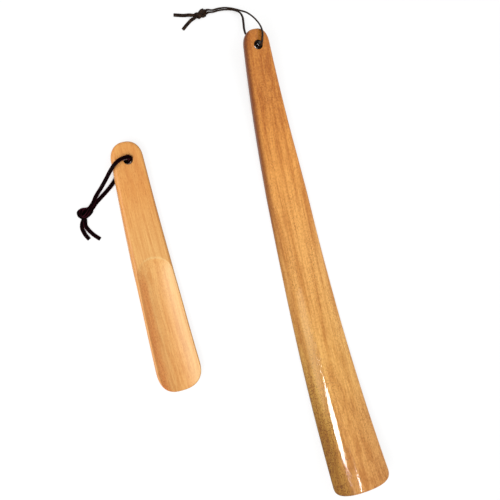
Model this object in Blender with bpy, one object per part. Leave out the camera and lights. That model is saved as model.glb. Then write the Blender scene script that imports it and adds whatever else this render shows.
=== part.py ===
"""A long and a short wooden shoehorn of one make, each with a tied leather lace.

Both horns lie along Y with the handle's end at +Y. The long one lies on its hollow side,
with its rounded back up. The short one lies on its back, with its scoop up. A horn is
worked out in its own terms: d is the distance from the handle's end, x is the place
across, and n is the height from the back towards the face that the scoop is cut in.
A horn's origin is on the table under its flat stretch, and a lace's pieces have theirs on
the axis of the hole that the lace swings in. Every length is in metres.
"""
import math
from dataclasses import dataclass

import bmesh
import bpy
from mathutils import Vector

# The pair as it is laid out.
HORN_SPACING = 0.122            # from one centre line to the other
SHORT_SETBACK = 0.0675          # the short handle's end lies this far behind the long one's

# The long horn.
LONG_LENGTH = 0.380
LONG_HANDLE_WIDTH = 0.0205      # where the handle's straight sides would meet its end
LONG_NECK_WIDTH = 0.0353        # where the blade starts
LONG_BLADE_WIDTH = 0.0505       # at the blade's end
LONG_END_THICKNESS = 0.0086
LONG_THICKNESS = 0.0095
LONG_HANDLE_CROWN = 0.0008      # how far the handle's back swells between its edges
LONG_BLADE_EDGE = 0.0029        # height of the blade's side edge
LONG_BLADE_WALL = 0.0031        # wood left under the deepest line of the hollow
LONG_EDGE_RADIUS = 0.0031
LONG_HANDLE_ROUND = 0.0130      # depth of the handle's rounded end
LONG_BLADE_ROUND = 0.0090
LONG_HANDLE_RISE = 0.0140       # how far the handle's end lifts off the table
LONG_BLADE_RISE = 0.0170
LONG_HOLE_SETBACK = 0.0128      # from the handle's end to the middle of the lace hole

# The short horn.
SHORT_LENGTH = 0.1955
SHORT_HANDLE_WIDTH = 0.0237
SHORT_NECK_WIDTH = 0.0305
SHORT_BLADE_WIDTH = 0.0358
SHORT_END_THICKNESS = 0.0065
SHORT_THICKNESS = 0.0080
SHORT_HANDLE_CROWN = 0.0
SHORT_BLADE_EDGE = 0.0027
SHORT_BLADE_WALL = 0.0028
SHORT_EDGE_RADIUS = 0.0025
SHORT_HANDLE_ROUND = 0.0130
SHORT_BLADE_ROUND = 0.0170
SHORT_HANDLE_RISE = 0.0065
SHORT_BLADE_RISE = 0.0050
SHORT_HOLE_SETBACK = 0.0140

# What both horns share.
HOLE_DIAMETER = 0.0070
HOLE_RIM_RADIUS = 0.0008        # the hole's mouths are eased by this much
SCOOP_RIM = 0.0013              # flat rim left beside the scoop
SCOOP_ARCH = 0.0125             # the scoop reaches its full width over this length
OVERRUN = 0.0040                # how far a cutter reaches past what it cuts

# The laces.
LACE_DIAMETER = 0.0020          # a round lace that stands for the flat one
KNOT_LENGTH = 0.0092
KNOT_DIAMETER = 0.0064
KNOT_END_DIAMETER = 0.0052
KNOT_GROOVE = 0.0003            # how deep the wraps are marked off
LACE_CLEARANCE = 0.0003         # between two laces, or a lace and the knot's end it meets
FLOOR_CLEARANCE = 0.00005       # a knot lies this far above the table

# Where things change along a horn, as shares of its length.
LONG_NECK_SHARE = 0.35
LONG_REST_SHARES = (0.33, 0.565)      # the stretch that lies flat on the table
LONG_THIN_SHARES = (0.25, 0.52)       # the side thins to the blade's edge
LONG_SCOOP_SHARE = 0.395              # the scoop starts
LONG_DEEP_SHARE = 0.15                # the scoop is full deep this far past its start
SHORT_NECK_SHARE = 0.51
SHORT_REST_SHARES = (0.385, 0.66)
SHORT_THIN_SHARES = (0.44, 0.68)
SHORT_SCOOP_SHARE = 0.47
SHORT_DEEP_SHARE = 0.26
HANDLE_TAPER_SHARE = 0.16             # the handle is full thick this far from its end
CORNER_SHARE = 0.42                   # an edge radius takes at most this share of its side

# Outline exponents: 2 is an ellipse, more is squarer.
LONG_HANDLE_POWER = 2.0
LONG_BLADE_POWER = 4.0
SHORT_HANDLE_POWER = 2.0
SHORT_BLADE_POWER = 2.6
SCOOP_ARCH_POWER = 2.0

# How finely the surfaces are cut.
LONG_STATIONS = 30
SHORT_STATIONS = 18
END_STATIONS = 8
END_FIRST_ANGLE = math.radians(6)
BACK_STEPS = 8
FACE_STEPS = 2
CORNER_STEPS = 4
SCOOP_STEPS = 12
SCOOP_NOSE_STATIONS = 8
HOLE_SIDES = 24
RIM_STEPS = 3
LACE_BEVEL_RESOLUTION = 2
LACE_STEPS_PER_SPAN = 3
KNOT_RINGS = 16
KNOT_SIDES = 20
KNOT_TURNS = 2.5
SHARP_ANGLE = math.radians(35)  # edges steeper than this stay crisp

# The laces' routes: x and y from the middle of the hole, z from the table. The strands end
# and the tails start at the knot, so its mouths are worked out and not listed.
LONG_FRONT_ROUTE = (
    (0.0008, 0.0015, 0.0163), (0.0008, 0.0015, 0.0196), (0.0011, 0.0022, 0.0222),
    (0.0019, 0.0040, 0.0239), (0.0030, 0.0068, 0.0245), (0.0040, 0.0105, 0.0242),
    (0.0046, 0.0145, 0.0222), (0.0046, 0.0190, 0.0185), (0.0036, 0.0250, 0.0136),
    (0.0010, 0.0305, 0.0090), (-0.0035, 0.0345, 0.0053), (-0.0090, 0.0375, 0.0028),
    (-0.0145, 0.0388, 0.0016), (-0.0200, 0.0387, 0.0014), (-0.0240, 0.0379, 0.0020),
)
LONG_BACK_ROUTE = (
    (0.0008, 0.0015, 0.0160), (0.0008, 0.0015, 0.0126), (0.0005, 0.0022, 0.0103),
    (-0.0004, 0.0042, 0.0084), (-0.0019, 0.0080, 0.0069), (-0.0034, 0.0128, 0.0058),
    (-0.0037, 0.0180, 0.0047), (-0.0026, 0.0235, 0.0036), (-0.0014, 0.0285, 0.0026),
    (-0.0019, 0.0322, 0.0018), (-0.0050, 0.0346, 0.0013), (-0.0095, 0.0353, 0.0012),
    (-0.0145, 0.0361, 0.0012), (-0.0200, 0.0360, 0.0014), (-0.0240, 0.0353, 0.0020),
)
LONG_FRONT_TAIL_ROUTE = (
    (-0.0447, 0.0369, 0.0018), (-0.0490, 0.0371, 0.0012),
    (-0.0530, 0.0381, 0.0011), (-0.0572, 0.0405, 0.0011),
)
LONG_BACK_TAIL_ROUTE = (
    (-0.0442, 0.0323, 0.0020), (-0.0475, 0.0299, 0.0013), (-0.0523, 0.0262, 0.0011),
)
LONG_KNOT_PLACE = (-0.0346, 0.0356)
LONG_KNOT_HEADING = math.radians(180)
SHORT_FRONT_ROUTE = (
    (-0.0012, 0.0006, 0.0086), (-0.0012, 0.0006, 0.0115), (-0.0019, 0.0009, 0.0134),
    (-0.0040, 0.0014, 0.0148), (-0.0075, 0.0011, 0.0155), (-0.0113, -0.0014, 0.0150),
    (-0.0150, -0.0057, 0.0124), (-0.0192, -0.0108, 0.0085), (-0.0240, -0.0163, 0.0049),
    (-0.0285, -0.0207, 0.0030),
)
SHORT_BACK_ROUTE = (
    (-0.0012, 0.0006, 0.0083), (-0.0012, 0.0005, 0.0052), (-0.0020, -0.0004, 0.0027),
    (-0.0042, -0.0030, 0.0014), (-0.0078, -0.0074, 0.0011), (-0.0127, -0.0132, 0.0011),
    (-0.0189, -0.0181, 0.0011), (-0.0253, -0.0226, 0.0014), (-0.0298, -0.0258, 0.0022),
)
SHORT_FRONT_TAIL_ROUTE = (
    (-0.0456, -0.0410, 0.0018), (-0.0449, -0.0450, 0.0012),
    (-0.0434, -0.0486, 0.0011), (-0.0409, -0.0523, 0.0011),
)
SHORT_BACK_TAIL_ROUTE = (
    (-0.0420, -0.0422, 0.0018), (-0.0396, -0.0458, 0.0012),
    (-0.0366, -0.0494, 0.0011), (-0.0331, -0.0538, 0.0011),
)
SHORT_KNOT_PLACE = (-0.0392, -0.0332)
SHORT_KNOT_HEADING = math.radians(226)


@dataclass(frozen=True)
class Horn:
    """One horn's sizes, its place and which way up it lies."""
    name: str
    centre_x: float
    end_y: float
    scoop_up: bool
    length: float
    handle_width: float
    neck_width: float
    blade_width: float
    end_thickness: float
    thickness: float
    handle_crown: float
    blade_edge: float
    blade_wall: float
    edge_radius: float
    handle_round: float
    blade_round: float
    handle_power: float
    blade_power: float
    handle_rise: float
    blade_rise: float
    hole_setback: float
    neck_share: float
    rest_shares: tuple
    thin_shares: tuple
    scoop_share: float
    deep_share: float
    stations: int


HALF_LAYOUT = (HORN_SPACING + LONG_BLADE_WIDTH / 2 + SHORT_BLADE_WIDTH / 2) / 2

LONG = Horn(
    "long_horn", HALF_LAYOUT - LONG_BLADE_WIDTH / 2, LONG_LENGTH / 2, False,
    LONG_LENGTH, LONG_HANDLE_WIDTH, LONG_NECK_WIDTH, LONG_BLADE_WIDTH,
    LONG_END_THICKNESS, LONG_THICKNESS, LONG_HANDLE_CROWN, LONG_BLADE_EDGE, LONG_BLADE_WALL,
    LONG_EDGE_RADIUS, LONG_HANDLE_ROUND, LONG_BLADE_ROUND, LONG_HANDLE_POWER, LONG_BLADE_POWER,
    LONG_HANDLE_RISE, LONG_BLADE_RISE, LONG_HOLE_SETBACK, LONG_NECK_SHARE, LONG_REST_SHARES,
    LONG_THIN_SHARES, LONG_SCOOP_SHARE, LONG_DEEP_SHARE, LONG_STATIONS)

SHORT = Horn(
    "short_horn", SHORT_BLADE_WIDTH / 2 - HALF_LAYOUT, LONG_LENGTH / 2 - SHORT_SETBACK, True,
    SHORT_LENGTH, SHORT_HANDLE_WIDTH, SHORT_NECK_WIDTH, SHORT_BLADE_WIDTH,
    SHORT_END_THICKNESS, SHORT_THICKNESS, SHORT_HANDLE_CROWN, SHORT_BLADE_EDGE, SHORT_BLADE_WALL,
    SHORT_EDGE_RADIUS, SHORT_HANDLE_ROUND, SHORT_BLADE_ROUND, SHORT_HANDLE_POWER, SHORT_BLADE_POWER,
    SHORT_HANDLE_RISE, SHORT_BLADE_RISE, SHORT_HOLE_SETBACK, SHORT_NECK_SHARE, SHORT_REST_SHARES,
    SHORT_THIN_SHARES, SHORT_SCOOP_SHARE, SHORT_DEEP_SHARE, SHORT_STATIONS)


def ease(start, end, value):
    """0 before start, 1 after end, and a smooth S between them."""
    t = min(max((value - start) / (end - start), 0.0), 1.0)
    return t * t * (3 - 2 * t)


def blend(low, high, share):
    """The value that lies the given share of the way from low to high."""
    return low + (high - low) * share


def straight_width(horn, d):
    """Width between the horn's straight sides, which part a little faster along the handle."""
    neck = horn.neck_share * horn.length
    if d < neck:
        return blend(horn.handle_width, horn.neck_width, d / neck)
    return blend(horn.neck_width, horn.blade_width, (d - neck) / (horn.length - neck))


def body_thickness(horn, d):
    """From the back to the scooped face: the handle thins towards its end."""
    full = HANDLE_TAPER_SHARE * horn.length
    return blend(horn.end_thickness, horn.thickness, ease(-full, full, d) * 2 - 1 if d < full else 1)


def crown(horn, d):
    """How far the back's middle stands proud of its edges: a little, then a whole blade's arch."""
    start, end = (share * horn.length for share in horn.thin_shares)
    blade_crown = horn.thickness - horn.blade_edge
    return blend(horn.handle_crown, blade_crown, ease(start, end, d))


def rise(horn, d):
    """How far the horn has curved up off the table, at both ends of the flat stretch."""
    start, end = (share * horn.length for share in horn.rest_shares)
    if d < start:
        return horn.handle_rise * ((start - d) / start) ** 2
    if d > end:
        return horn.blade_rise * ((d - end) / (horn.length - end)) ** 2
    return 0.0


def place(horn, x, d, n):
    """A point of the horn's own terms in the shared frame."""
    height = n if horn.scoop_up else body_thickness(horn, d) - n
    return Vector((horn.centre_x + x, horn.end_y - d, rise(horn, d) + height))


def outline_stations(horn):
    """Each ring's d, the share of the straight width left there, and its distance from an end."""
    angles = [blend(END_FIRST_ANGLE, math.pi / 2, i / END_STATIONS) for i in range(END_STATIONS + 1)]
    handle = [end_station(horn.handle_round, horn.handle_power, a) for a in angles]
    blade = [end_station(horn.blade_round, horn.blade_power, a) for a in angles]
    stations = [(depth, share, depth) for depth, share in handle]
    start, end = horn.handle_round, horn.length - horn.blade_round
    for i in range(1, horn.stations):
        d = blend(start, end, i / horn.stations)
        stations.append((d, 1.0, min(d, horn.length - d)))
    stations += [(horn.length - depth, share, depth) for depth, share in reversed(blade)]
    return stations


def end_station(depth, power, angle):
    """Distance from the end, and share of the width, of a superellipse's point at an angle."""
    back_off = 1 - math.cos(angle) ** (2 / power) if angle < math.pi / 2 else 1.0
    return depth * back_off, math.sin(angle) ** (2 / power)


def body_ring(horn, d, share, from_end):
    """One closed section of the uncut horn: back, corner, side, corner, face and round again."""
    straight_half = straight_width(horn, d) / 2
    half = straight_half * share
    thickness = body_thickness(horn, d)
    side = thickness - crown(horn, d) * share ** 2
    radius = min(horn.edge_radius, CORNER_SHARE * side, CORNER_SHARE * half)
    end_wall = side if d < horn.length / 2 else horn.blade_wall
    lip = min(horn.edge_radius, CORNER_SHARE * end_wall)
    inset = lip - math.sqrt(lip ** 2 - max(lip - from_end, 0.0) ** 2)

    def back(x):
        return crown(horn, d) * (x / straight_half) ** 2 + inset

    flat = half - radius
    ring = [(blend(-flat, flat, i / BACK_STEPS), 0.0) for i in range(BACK_STEPS + 1)]
    ring = [(x, back(x)) for x, _ in ring]
    corner = [(math.sin(a), 1 - math.cos(a)) for a in
              (math.pi / 2 * i / CORNER_STEPS for i in range(1, CORNER_STEPS + 1))]
    ring += [(flat + radius * s, back(flat + radius * s) + radius * c) for s, c in corner]
    ring += [(flat + radius * s, thickness - inset - radius * c) for s, c in reversed(corner)]
    ring += [(blend(flat, -flat, i / FACE_STEPS), thickness - inset) for i in range(FACE_STEPS + 1)]
    ring += [(-flat - radius * s, thickness - inset - radius * c) for s, c in corner]
    ring += [(-flat - radius * s, back(flat + radius * s) + radius * c) for s, c in reversed(corner)]
    return [place(horn, x, d, n) for x, n in ring]


def scoop_ring(horn, d, from_start, nose_share):
    """One section of the scoop's cutter: a shallow arc below the face, and a lid above it."""
    half = (straight_width(horn, d) / 2 - SCOOP_RIM) * nose_share
    full_depth = horn.thickness - horn.blade_wall
    run = min(from_start / (horn.deep_share * horn.length), 1.0)
    depth = full_depth * (1 - (1 - run) ** 2)
    thickness = body_thickness(horn, min(d, horn.length))
    across = [blend(-1, 1, i / SCOOP_STEPS) for i in range(SCOOP_STEPS + 1)]
    ring = [(half * s, thickness - depth * (1 - s * s)) for s in across]
    ring += [(half, thickness + OVERRUN), (-half, thickness + OVERRUN)]
    return [place(horn, x, d, n) for x, n in ring]


def loft(name, rings, origin):
    """A closed mesh object through rings of equally many points, with a flat cap at each end."""
    mesh = bmesh.new()
    loops = [[mesh.verts.new(point - origin) for point in ring] for ring in rings]
    count = len(loops[0])
    for near, far in zip(loops, loops[1:]):
        for i in range(count):
            j = (i + 1) % count
            mesh.faces.new((near[i], near[j], far[j], far[i]))
    mesh.faces.new(loops[0])
    mesh.faces.new(reversed(loops[-1]))
    bmesh.ops.recalc_face_normals(mesh, faces=mesh.faces)
    data = bpy.data.meshes.new(name)
    mesh.to_mesh(data)
    mesh.free()
    piece = bpy.data.objects.new(name, data)
    piece.location = origin
    bpy.context.collection.objects.link(piece)
    return piece


def make_cutter(piece):
    """Keep a piece as a guide that shapes others and is no part itself."""
    piece.hide_render = True
    piece.display_type = "WIRE"
    return piece


def cut(piece, cutter, name):
    """Take the cutter's shape out of the piece."""
    modifier = piece.modifiers.new(name, "BOOLEAN")
    modifier.operation = "DIFFERENCE"
    modifier.solver = "EXACT"
    modifier.object = cutter


def scoop_cutter(horn):
    """The hollow that the heel slides in, with its arched start and its run past the blade's end."""
    start = horn.scoop_share * horn.length
    rings = []
    for i in range(SCOOP_NOSE_STATIONS + 1):
        from_start, share = end_station(
            SCOOP_ARCH, SCOOP_ARCH_POWER,
            blend(END_FIRST_ANGLE, math.pi / 2, i / SCOOP_NOSE_STATIONS))
        rings.append(scoop_ring(horn, start + from_start, from_start, share))
    end = horn.length + OVERRUN
    for i in range(1, horn.stations + 1):
        d = blend(start + SCOOP_ARCH, end, i / horn.stations)
        rings.append(scoop_ring(horn, d, d - start, 1.0))
    return make_cutter(loft(horn.name + "_scoop_cutter", rings, rest_point(horn)))


def hole_cutter(horn):
    """A round bore whose two mouths flare by a quarter round."""
    d = horn.hole_setback
    low, high = rise(horn, d), rise(horn, d) + body_thickness(horn, d)
    radius = HOLE_DIAMETER / 2
    flare = [(HOLE_RIM_RADIUS * (1 - math.cos(a)), HOLE_RIM_RADIUS * (1 - math.sin(a))) for a in
             (math.pi / 2 * i / RIM_STEPS for i in range(RIM_STEPS + 1))]
    profile = [(low - OVERRUN, radius + HOLE_RIM_RADIUS)]
    profile += [(low + up, radius + out) for up, out in flare]
    profile += [(high - up, radius + out) for up, out in reversed(flare)]
    profile += [(high + OVERRUN, radius + HOLE_RIM_RADIUS)]
    centre = hole_centre(horn)
    angles = [2 * math.pi * i / HOLE_SIDES for i in range(HOLE_SIDES)]
    rings = [[Vector((centre.x + r * math.cos(a), centre.y + r * math.sin(a), z)) for a in angles]
             for z, r in profile]
    return make_cutter(loft(horn.name + "_hole_cutter", rings, centre))


def hole_centre(horn):
    """The middle of the lace hole, on its upright axis."""
    d = horn.hole_setback
    height = rise(horn, d) + body_thickness(horn, d) / 2
    return Vector((horn.centre_x, horn.end_y - d, height))


def rest_point(horn):
    """The point of the table under the middle of the horn's flat stretch."""
    d = sum(horn.rest_shares) / 2 * horn.length
    return Vector((horn.centre_x, horn.end_y - d, 0))


def over_hole(horn, point):
    """A lace's point, whose height is from the table, measured from the middle of the hole."""
    return Vector((point[0], point[1], point[2] - hole_centre(horn).z))


def finish(piece, material):
    """Give a piece its material and shade its round surfaces smooth."""
    piece.data.materials.append(material)
    if piece.type == "MESH":
        piece.data.shade_smooth()
        piece.data.set_sharp_from_angle(angle=SHARP_ANGLE)


def wood(name, colour, roughness):
    """A Principled wood colour."""
    material = bpy.data.materials.new(name)
    material.use_nodes = True
    shader = material.node_tree.nodes["Principled BSDF"]
    shader.inputs["Base Color"].default_value = (*colour, 1.0)
    shader.inputs["Roughness"].default_value = roughness
    shader.inputs["Metallic"].default_value = 0.0
    return material


def make_horn(horn, material):
    """The wooden body, cut by its scoop and its lace hole."""
    rings = [body_ring(horn, *station) for station in outline_stations(horn)]
    body = loft(horn.name, rings, rest_point(horn))
    cut(body, scoop_cutter(horn), "scoop")
    cut(body, hole_cutter(horn), "lace_hole")
    finish(body, material)
    return body


def smooth_route(points, steps):
    """Points read from a centripetal Catmull-Rom curve through a route."""
    route = [Vector(p) for p in points]
    route = [route[0] * 2 - route[1]] + route + [route[-1] * 2 - route[-2]]
    smooth = [route[1]]
    for a, b, c, d in zip(route, route[1:], route[2:], route[3:]):
        knots = [0.0]
        for p, q in ((a, b), (b, c), (c, d)):
            knots.append(knots[-1] + math.sqrt((q - p).length))
        for i in range(1, steps + 1):
            t = blend(knots[1], knots[2], i / steps)
            smooth.append(curve_point((a, b, c, d), knots, t))
    return smooth


def curve_point(points, knots, t):
    """The curve's point at t, by repeated blending between neighbours."""
    level = list(points)
    for span in range(1, 4):
        if span < 3:
            level = [mix(level[i], level[i + 1], knots[i], knots[i + span], t)
                     for i in range(len(level) - 1)]
        else:
            level = [mix(level[0], level[1], knots[1], knots[2], t)]
    return level[0]


def mix(p, q, start, end, t):
    """The point that t, between start and end, picks on the line from p to q."""
    return p * ((end - t) / (end - start)) + q * ((t - start) / (end - start))


def knot_frame(centre, heading):
    """The knot's middle, its direction from strands to tails, and its sideways direction."""
    middle = Vector((centre[0], centre[1], KNOT_DIAMETER / 2 + FLOOR_CLEARANCE))
    along = Vector((math.cos(heading), math.sin(heading), 0))
    return middle, along, Vector((-along.y, along.x, 0))


def knot_mouth(knot, end, turn):
    """Where one lace meets the knot, and a point one diameter straight out from there.

    end is -1 where the strands come in and 1 where the tails leave, and turn is -1 for the
    front strand and 1 for the back one, which lie side by side.
    """
    middle, along, side = knot_frame(*knot)
    beside = middle + side * (turn * (LACE_DIAMETER + LACE_CLEARANCE) / 2)
    mouth = beside + along * (end * (KNOT_LENGTH / 2 + LACE_CLEARANCE))
    return [mouth, mouth + along * (end * LACE_DIAMETER)]


def make_strand(name, horn, route, material):
    """A stretch of lace along its route, as a round tube with closed ends."""
    shape = bpy.data.curves.new(name, "CURVE")
    shape.dimensions = "3D"
    shape.bevel_depth = LACE_DIAMETER / 2
    shape.bevel_resolution = LACE_BEVEL_RESOLUTION
    shape.use_fill_caps = True
    points = smooth_route(route, LACE_STEPS_PER_SPAN)
    spline = shape.splines.new("POLY")
    spline.points.add(len(points) - 1)
    for spot, point in zip(spline.points, points):
        spot.co = (*over_hole(horn, point), 1.0)
    strand = bpy.data.objects.new(name, shape)
    strand.location = hole_centre(horn)
    bpy.context.collection.objects.link(strand)
    finish(strand, material)
    return strand


def make_knot(name, horn, knot, material):
    """The overhand knot's outer shape: a barrel with wraps that wind round it."""
    middle, along, side = knot_frame(*knot)
    middle = hole_centre(horn) + over_hole(horn, middle)
    up = Vector((0, 0, 1))
    rings = []
    for i in range(KNOT_RINGS + 1):
        share = i / KNOT_RINGS
        swell = math.sin(math.pi * share)
        radius = blend(KNOT_END_DIAMETER / 2, KNOT_DIAMETER / 2 - KNOT_GROOVE, math.sqrt(swell))
        ring = []
        for j in range(KNOT_SIDES):
            a = 2 * math.pi * j / KNOT_SIDES
            wrap = math.cos(a - 2 * math.pi * KNOT_TURNS * share)
            r = radius + KNOT_GROOVE * swell * wrap
            out = side * (r * math.cos(a)) + up * (r * math.sin(a))
            ring.append(middle + along * (KNOT_LENGTH * (share - 0.5)) + out)
        rings.append(ring)
    piece = loft(name, rings, hole_centre(horn))
    finish(piece, material)
    return piece


def make_lace(prefix, horn, strands, tails, knot, material):
    """A tied lace: a strand from each mouth of the hole, the knot, and the two tails."""
    for side, turn, strand, tail in zip(("front", "back"), (-1, 1), strands, tails):
        enters = list(reversed(knot_mouth(knot, -1, turn)))
        leaves = knot_mouth(knot, 1, turn)
        make_strand(f"{prefix}_lace_{side}", horn, [*strand, *enters], material)
        make_strand(f"{prefix}_lace_{side}_tail", horn, [*leaves, *tail], material)
    make_knot(prefix + "_lace_knot", horn, knot, material)


def main():
    """Build both horns and both laces."""
    for thing in list(bpy.data.objects):
        bpy.data.objects.remove(thing)
    make_horn(LONG, wood("lacquered_beech", (0.60, 0.30, 0.09), 0.25))
    make_horn(SHORT, wood("sanded_beech", (0.80, 0.42, 0.15), 0.45))
    brown = wood("brown_leather", (0.035, 0.020, 0.016), 0.55)
    dark = wood("dark_leather", (0.012, 0.004, 0.004), 0.50)
    make_lace("long", LONG, (LONG_FRONT_ROUTE, LONG_BACK_ROUTE),
              (LONG_FRONT_TAIL_ROUTE, LONG_BACK_TAIL_ROUTE),
              (LONG_KNOT_PLACE, LONG_KNOT_HEADING), brown)
    make_lace("short", SHORT, (SHORT_FRONT_ROUTE, SHORT_BACK_ROUTE),
              (SHORT_FRONT_TAIL_ROUTE, SHORT_BACK_TAIL_ROUTE),
              (SHORT_KNOT_PLACE, SHORT_KNOT_HEADING), dark)


main()
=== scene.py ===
"""The looks of a long and a short wooden shoehorn, each with a tied flat leather lace.

Both horns lie along Y with the handle's end at +Y, the long one back up and the short one
scoop up. As in the solids, d is the distance from the handle's end, x the place across and n
the height from the back towards the scooped face. Lengths are in metres.
"""

import logging
import math
from dataclasses import dataclass
from enum import Enum

import bmesh
import bpy
import numpy as np
from mathutils import Matrix


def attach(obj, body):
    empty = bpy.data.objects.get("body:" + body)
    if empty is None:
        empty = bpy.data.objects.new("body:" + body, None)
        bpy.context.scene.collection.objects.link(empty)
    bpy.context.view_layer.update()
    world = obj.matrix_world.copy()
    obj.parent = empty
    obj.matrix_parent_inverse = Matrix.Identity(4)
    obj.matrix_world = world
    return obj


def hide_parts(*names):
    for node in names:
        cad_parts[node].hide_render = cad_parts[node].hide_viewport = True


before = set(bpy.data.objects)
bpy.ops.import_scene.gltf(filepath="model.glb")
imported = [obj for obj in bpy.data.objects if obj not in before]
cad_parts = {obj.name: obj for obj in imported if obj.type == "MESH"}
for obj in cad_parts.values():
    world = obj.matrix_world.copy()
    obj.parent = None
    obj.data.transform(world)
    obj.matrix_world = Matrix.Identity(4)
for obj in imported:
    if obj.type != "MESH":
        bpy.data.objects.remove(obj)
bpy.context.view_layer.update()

Pair = tuple[float, float]
Point = tuple[float, float, float]
Tree = bpy.types.NodeTree
Socket = bpy.types.NodeSocket

LOG = logging.getLogger("shoehorns")
MM = 0.001
WELD_DISTANCE = 1e-6
TINY = 1e-12


class Lies(Enum):
    """Which way up a horn lies on the table."""

    BACK_UP = "back up"
    SCOOP_UP = "scoop up"


class Skin(Enum):
    """The two broad surfaces of a horn."""

    FACE = "face"
    BACK = "back"


def ease(start: float, end: float, value: np.ndarray) -> np.ndarray:
    """A smooth step: 0 before start, 1 after end, and 3 t squared less 2 t cubed between.

    Args:
        start: where the step begins.
        end: where it ends.
        value: the places to work it out at.

    Returns:
        The step's height at each place.
    """
    t = np.clip((value - start) / (end - start), 0.0, 1.0)
    return t * t * (3 - 2 * t)


def unit(vectors: np.ndarray) -> np.ndarray:
    """Each vector divided by its own length."""
    return vectors / np.maximum(np.linalg.norm(vectors, axis=-1, keepdims=True), TINY)


def grid_faces(rows: int, columns: int, first: int, closed: bool) -> np.ndarray:
    """The quads between neighbouring points of a grid.

    Args:
        rows: how many rows of points the grid has.
        columns: how many points a row has.
        first: the index of the grid's first point.
        closed: whether the last row joins the first one.

    Returns:
        One row of four indices for each quad.
    """
    index = first + np.arange(rows * columns).reshape(rows, columns)
    if closed:
        index = np.vstack([index, index[:1]])
    corners = [index[:-1, :-1], index[1:, :-1], index[1:, 1:], index[:-1, 1:]]
    return np.stack(corners, axis=-1).reshape(-1, 4)


def new_piece(name: str, patches: list[tuple[np.ndarray, bool]]) -> bpy.types.Object:
    """One closed mesh from several grids of points whose edges meet.

    Args:
        name: the piece's name.
        patches: each grid, as rows x columns x 3, and whether its rows close on themselves.

    Returns:
        The piece, welded, facing outwards and shaded smooth.
    """
    points, faces, first = [], [], 0
    for grid, closed in patches:
        rows, columns = grid.shape[:2]
        points.append(grid.reshape(-1, 3))
        faces.append(grid_faces(rows, columns, first, closed))
        first += rows * columns
    data = bpy.data.meshes.new(name)
    data.from_pydata(np.concatenate(points), [], np.concatenate(faces).tolist())
    mesh = bmesh.new()
    mesh.from_mesh(data)
    bmesh.ops.remove_doubles(mesh, verts=mesh.verts, dist=WELD_DISTANCE)
    bmesh.ops.holes_fill(mesh, edges=mesh.edges)
    bmesh.ops.recalc_face_normals(mesh, faces=mesh.faces)
    mesh.to_mesh(data)
    mesh.free()
    data.shade_smooth()
    piece = bpy.data.objects.new(name, data)
    bpy.context.scene.collection.objects.link(piece)
    return piece


def vertex_places(piece: bpy.types.Object) -> np.ndarray:
    """The places of a piece's vertices.

    Args:
        piece: the piece.

    Returns:
        n x 3 points, as the mesh has them.
    """
    places = np.empty(len(piece.data.vertices) * 3, np.float32)
    piece.data.vertices.foreach_get("co", places)
    return places.reshape(-1, 3).astype(float)


def write_attribute(piece: bpy.types.Object, name: str, values: np.ndarray) -> None:
    """Give a piece's mesh a named number for each vertex."""
    attribute = piece.data.attributes.new(name, "FLOAT", "POINT")
    attribute.data.foreach_set("value", values.astype(np.float32))


def distance_to_line(points: np.ndarray, line: np.ndarray) -> np.ndarray:
    """The least distance from each point to a polyline.

    For each stretch a to b the nearest point is a + t (b - a), with t held between 0 and 1.

    Args:
        points: n x 2 points.
        line: the polyline's m x 2 points.

    Returns:
        n distances.
    """
    best = np.full(len(points), np.inf)
    for a, b in zip(line, line[1:]):
        along = b - a
        t = np.clip((points - a) @ along / max(along @ along, TINY ** 2), 0.0, 1.0)
        best = np.minimum(best, np.hypot(*(points - a - t[:, None] * along).T))
    return best


def hex_colour(text: str) -> tuple[float, float, float, float]:
    """An sRGB hex colour as linear red, green, blue and a full alpha.

    Each part c is c / 12.92 up to 0.04045, and above that (c + 0.055) / 1.055 to the power 2.4.

    Args:
        text: six hex digits after a hash sign.

    Returns:
        Four numbers for a colour socket.
    """
    srgb = [int(text[i:i + 2], 16) / 255 for i in (1, 3, 5)]
    linear = [c / 12.92 if c <= 0.04045 else ((c + 0.055) / 1.055) ** 2.4 for c in srgb]
    return (*linear, 1.0)

def feed(tree: Tree, node: bpy.types.Node, inputs: dict) -> None:
    """Give a node's inputs their values or their links.

    Args:
        tree: the node tree that the node is in.
        node: the node.
        inputs: input name or index to a value, or to the socket that feeds it.
    """
    for key, value in inputs.items():
        if isinstance(value, Socket):
            tree.links.new(value, node.inputs[key])
        else:
            node.inputs[key].default_value = value


def add(tree: Tree, kind: str, settings: dict | None = None,
        inputs: dict | None = None) -> bpy.types.Node:
    """Add a node with its settings, its input values and its links.

    Args:
        tree: the node tree it goes in.
        kind: the node's type name.
        settings: property name to value.
        inputs: input name or index to a value, or to the socket that feeds it.

    Returns:
        The node.
    """
    node = tree.nodes.new(kind)
    for name, value in (settings or {}).items():
        setattr(node, name, value)
    feed(tree, node, inputs or {})
    return node


def new_material(name: str) -> tuple[bpy.types.Material, Tree, bpy.types.Node]:
    """A material of that name, its node tree and its principled shader.

    Args:
        name: the material's name.

    Returns:
        The three, in that order.
    """
    material = bpy.data.materials.new(name)
    material.use_nodes = True
    return material, material.node_tree, material.node_tree.nodes["Principled BSDF"]


# What the nodes that occur most often are set to, and a mix node's inputs and output.
TIMES = {"operation": "MULTIPLY"}
TIMES_AND_PLUS = {"operation": "MULTIPLY_ADD"}
LARGER = {"operation": "MAXIMUM"}
SMOOTH = {"interpolation_type": "SMOOTHSTEP"}
COVER = {"data_type": "RGBA", "blend_type": "MIX"}
DARKEN = {"data_type": "RGBA", "blend_type": "MULTIPLY"}
MIX_SHARE, MIX_UNDER, MIX_OVER, MIX_OUT = 0, 6, 7, 2
WHITE = (1.0, 1.0, 1.0, 1.0)
MARKS = ("across", "along", "bore", "edge", "hollow", "painted_light")


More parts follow.
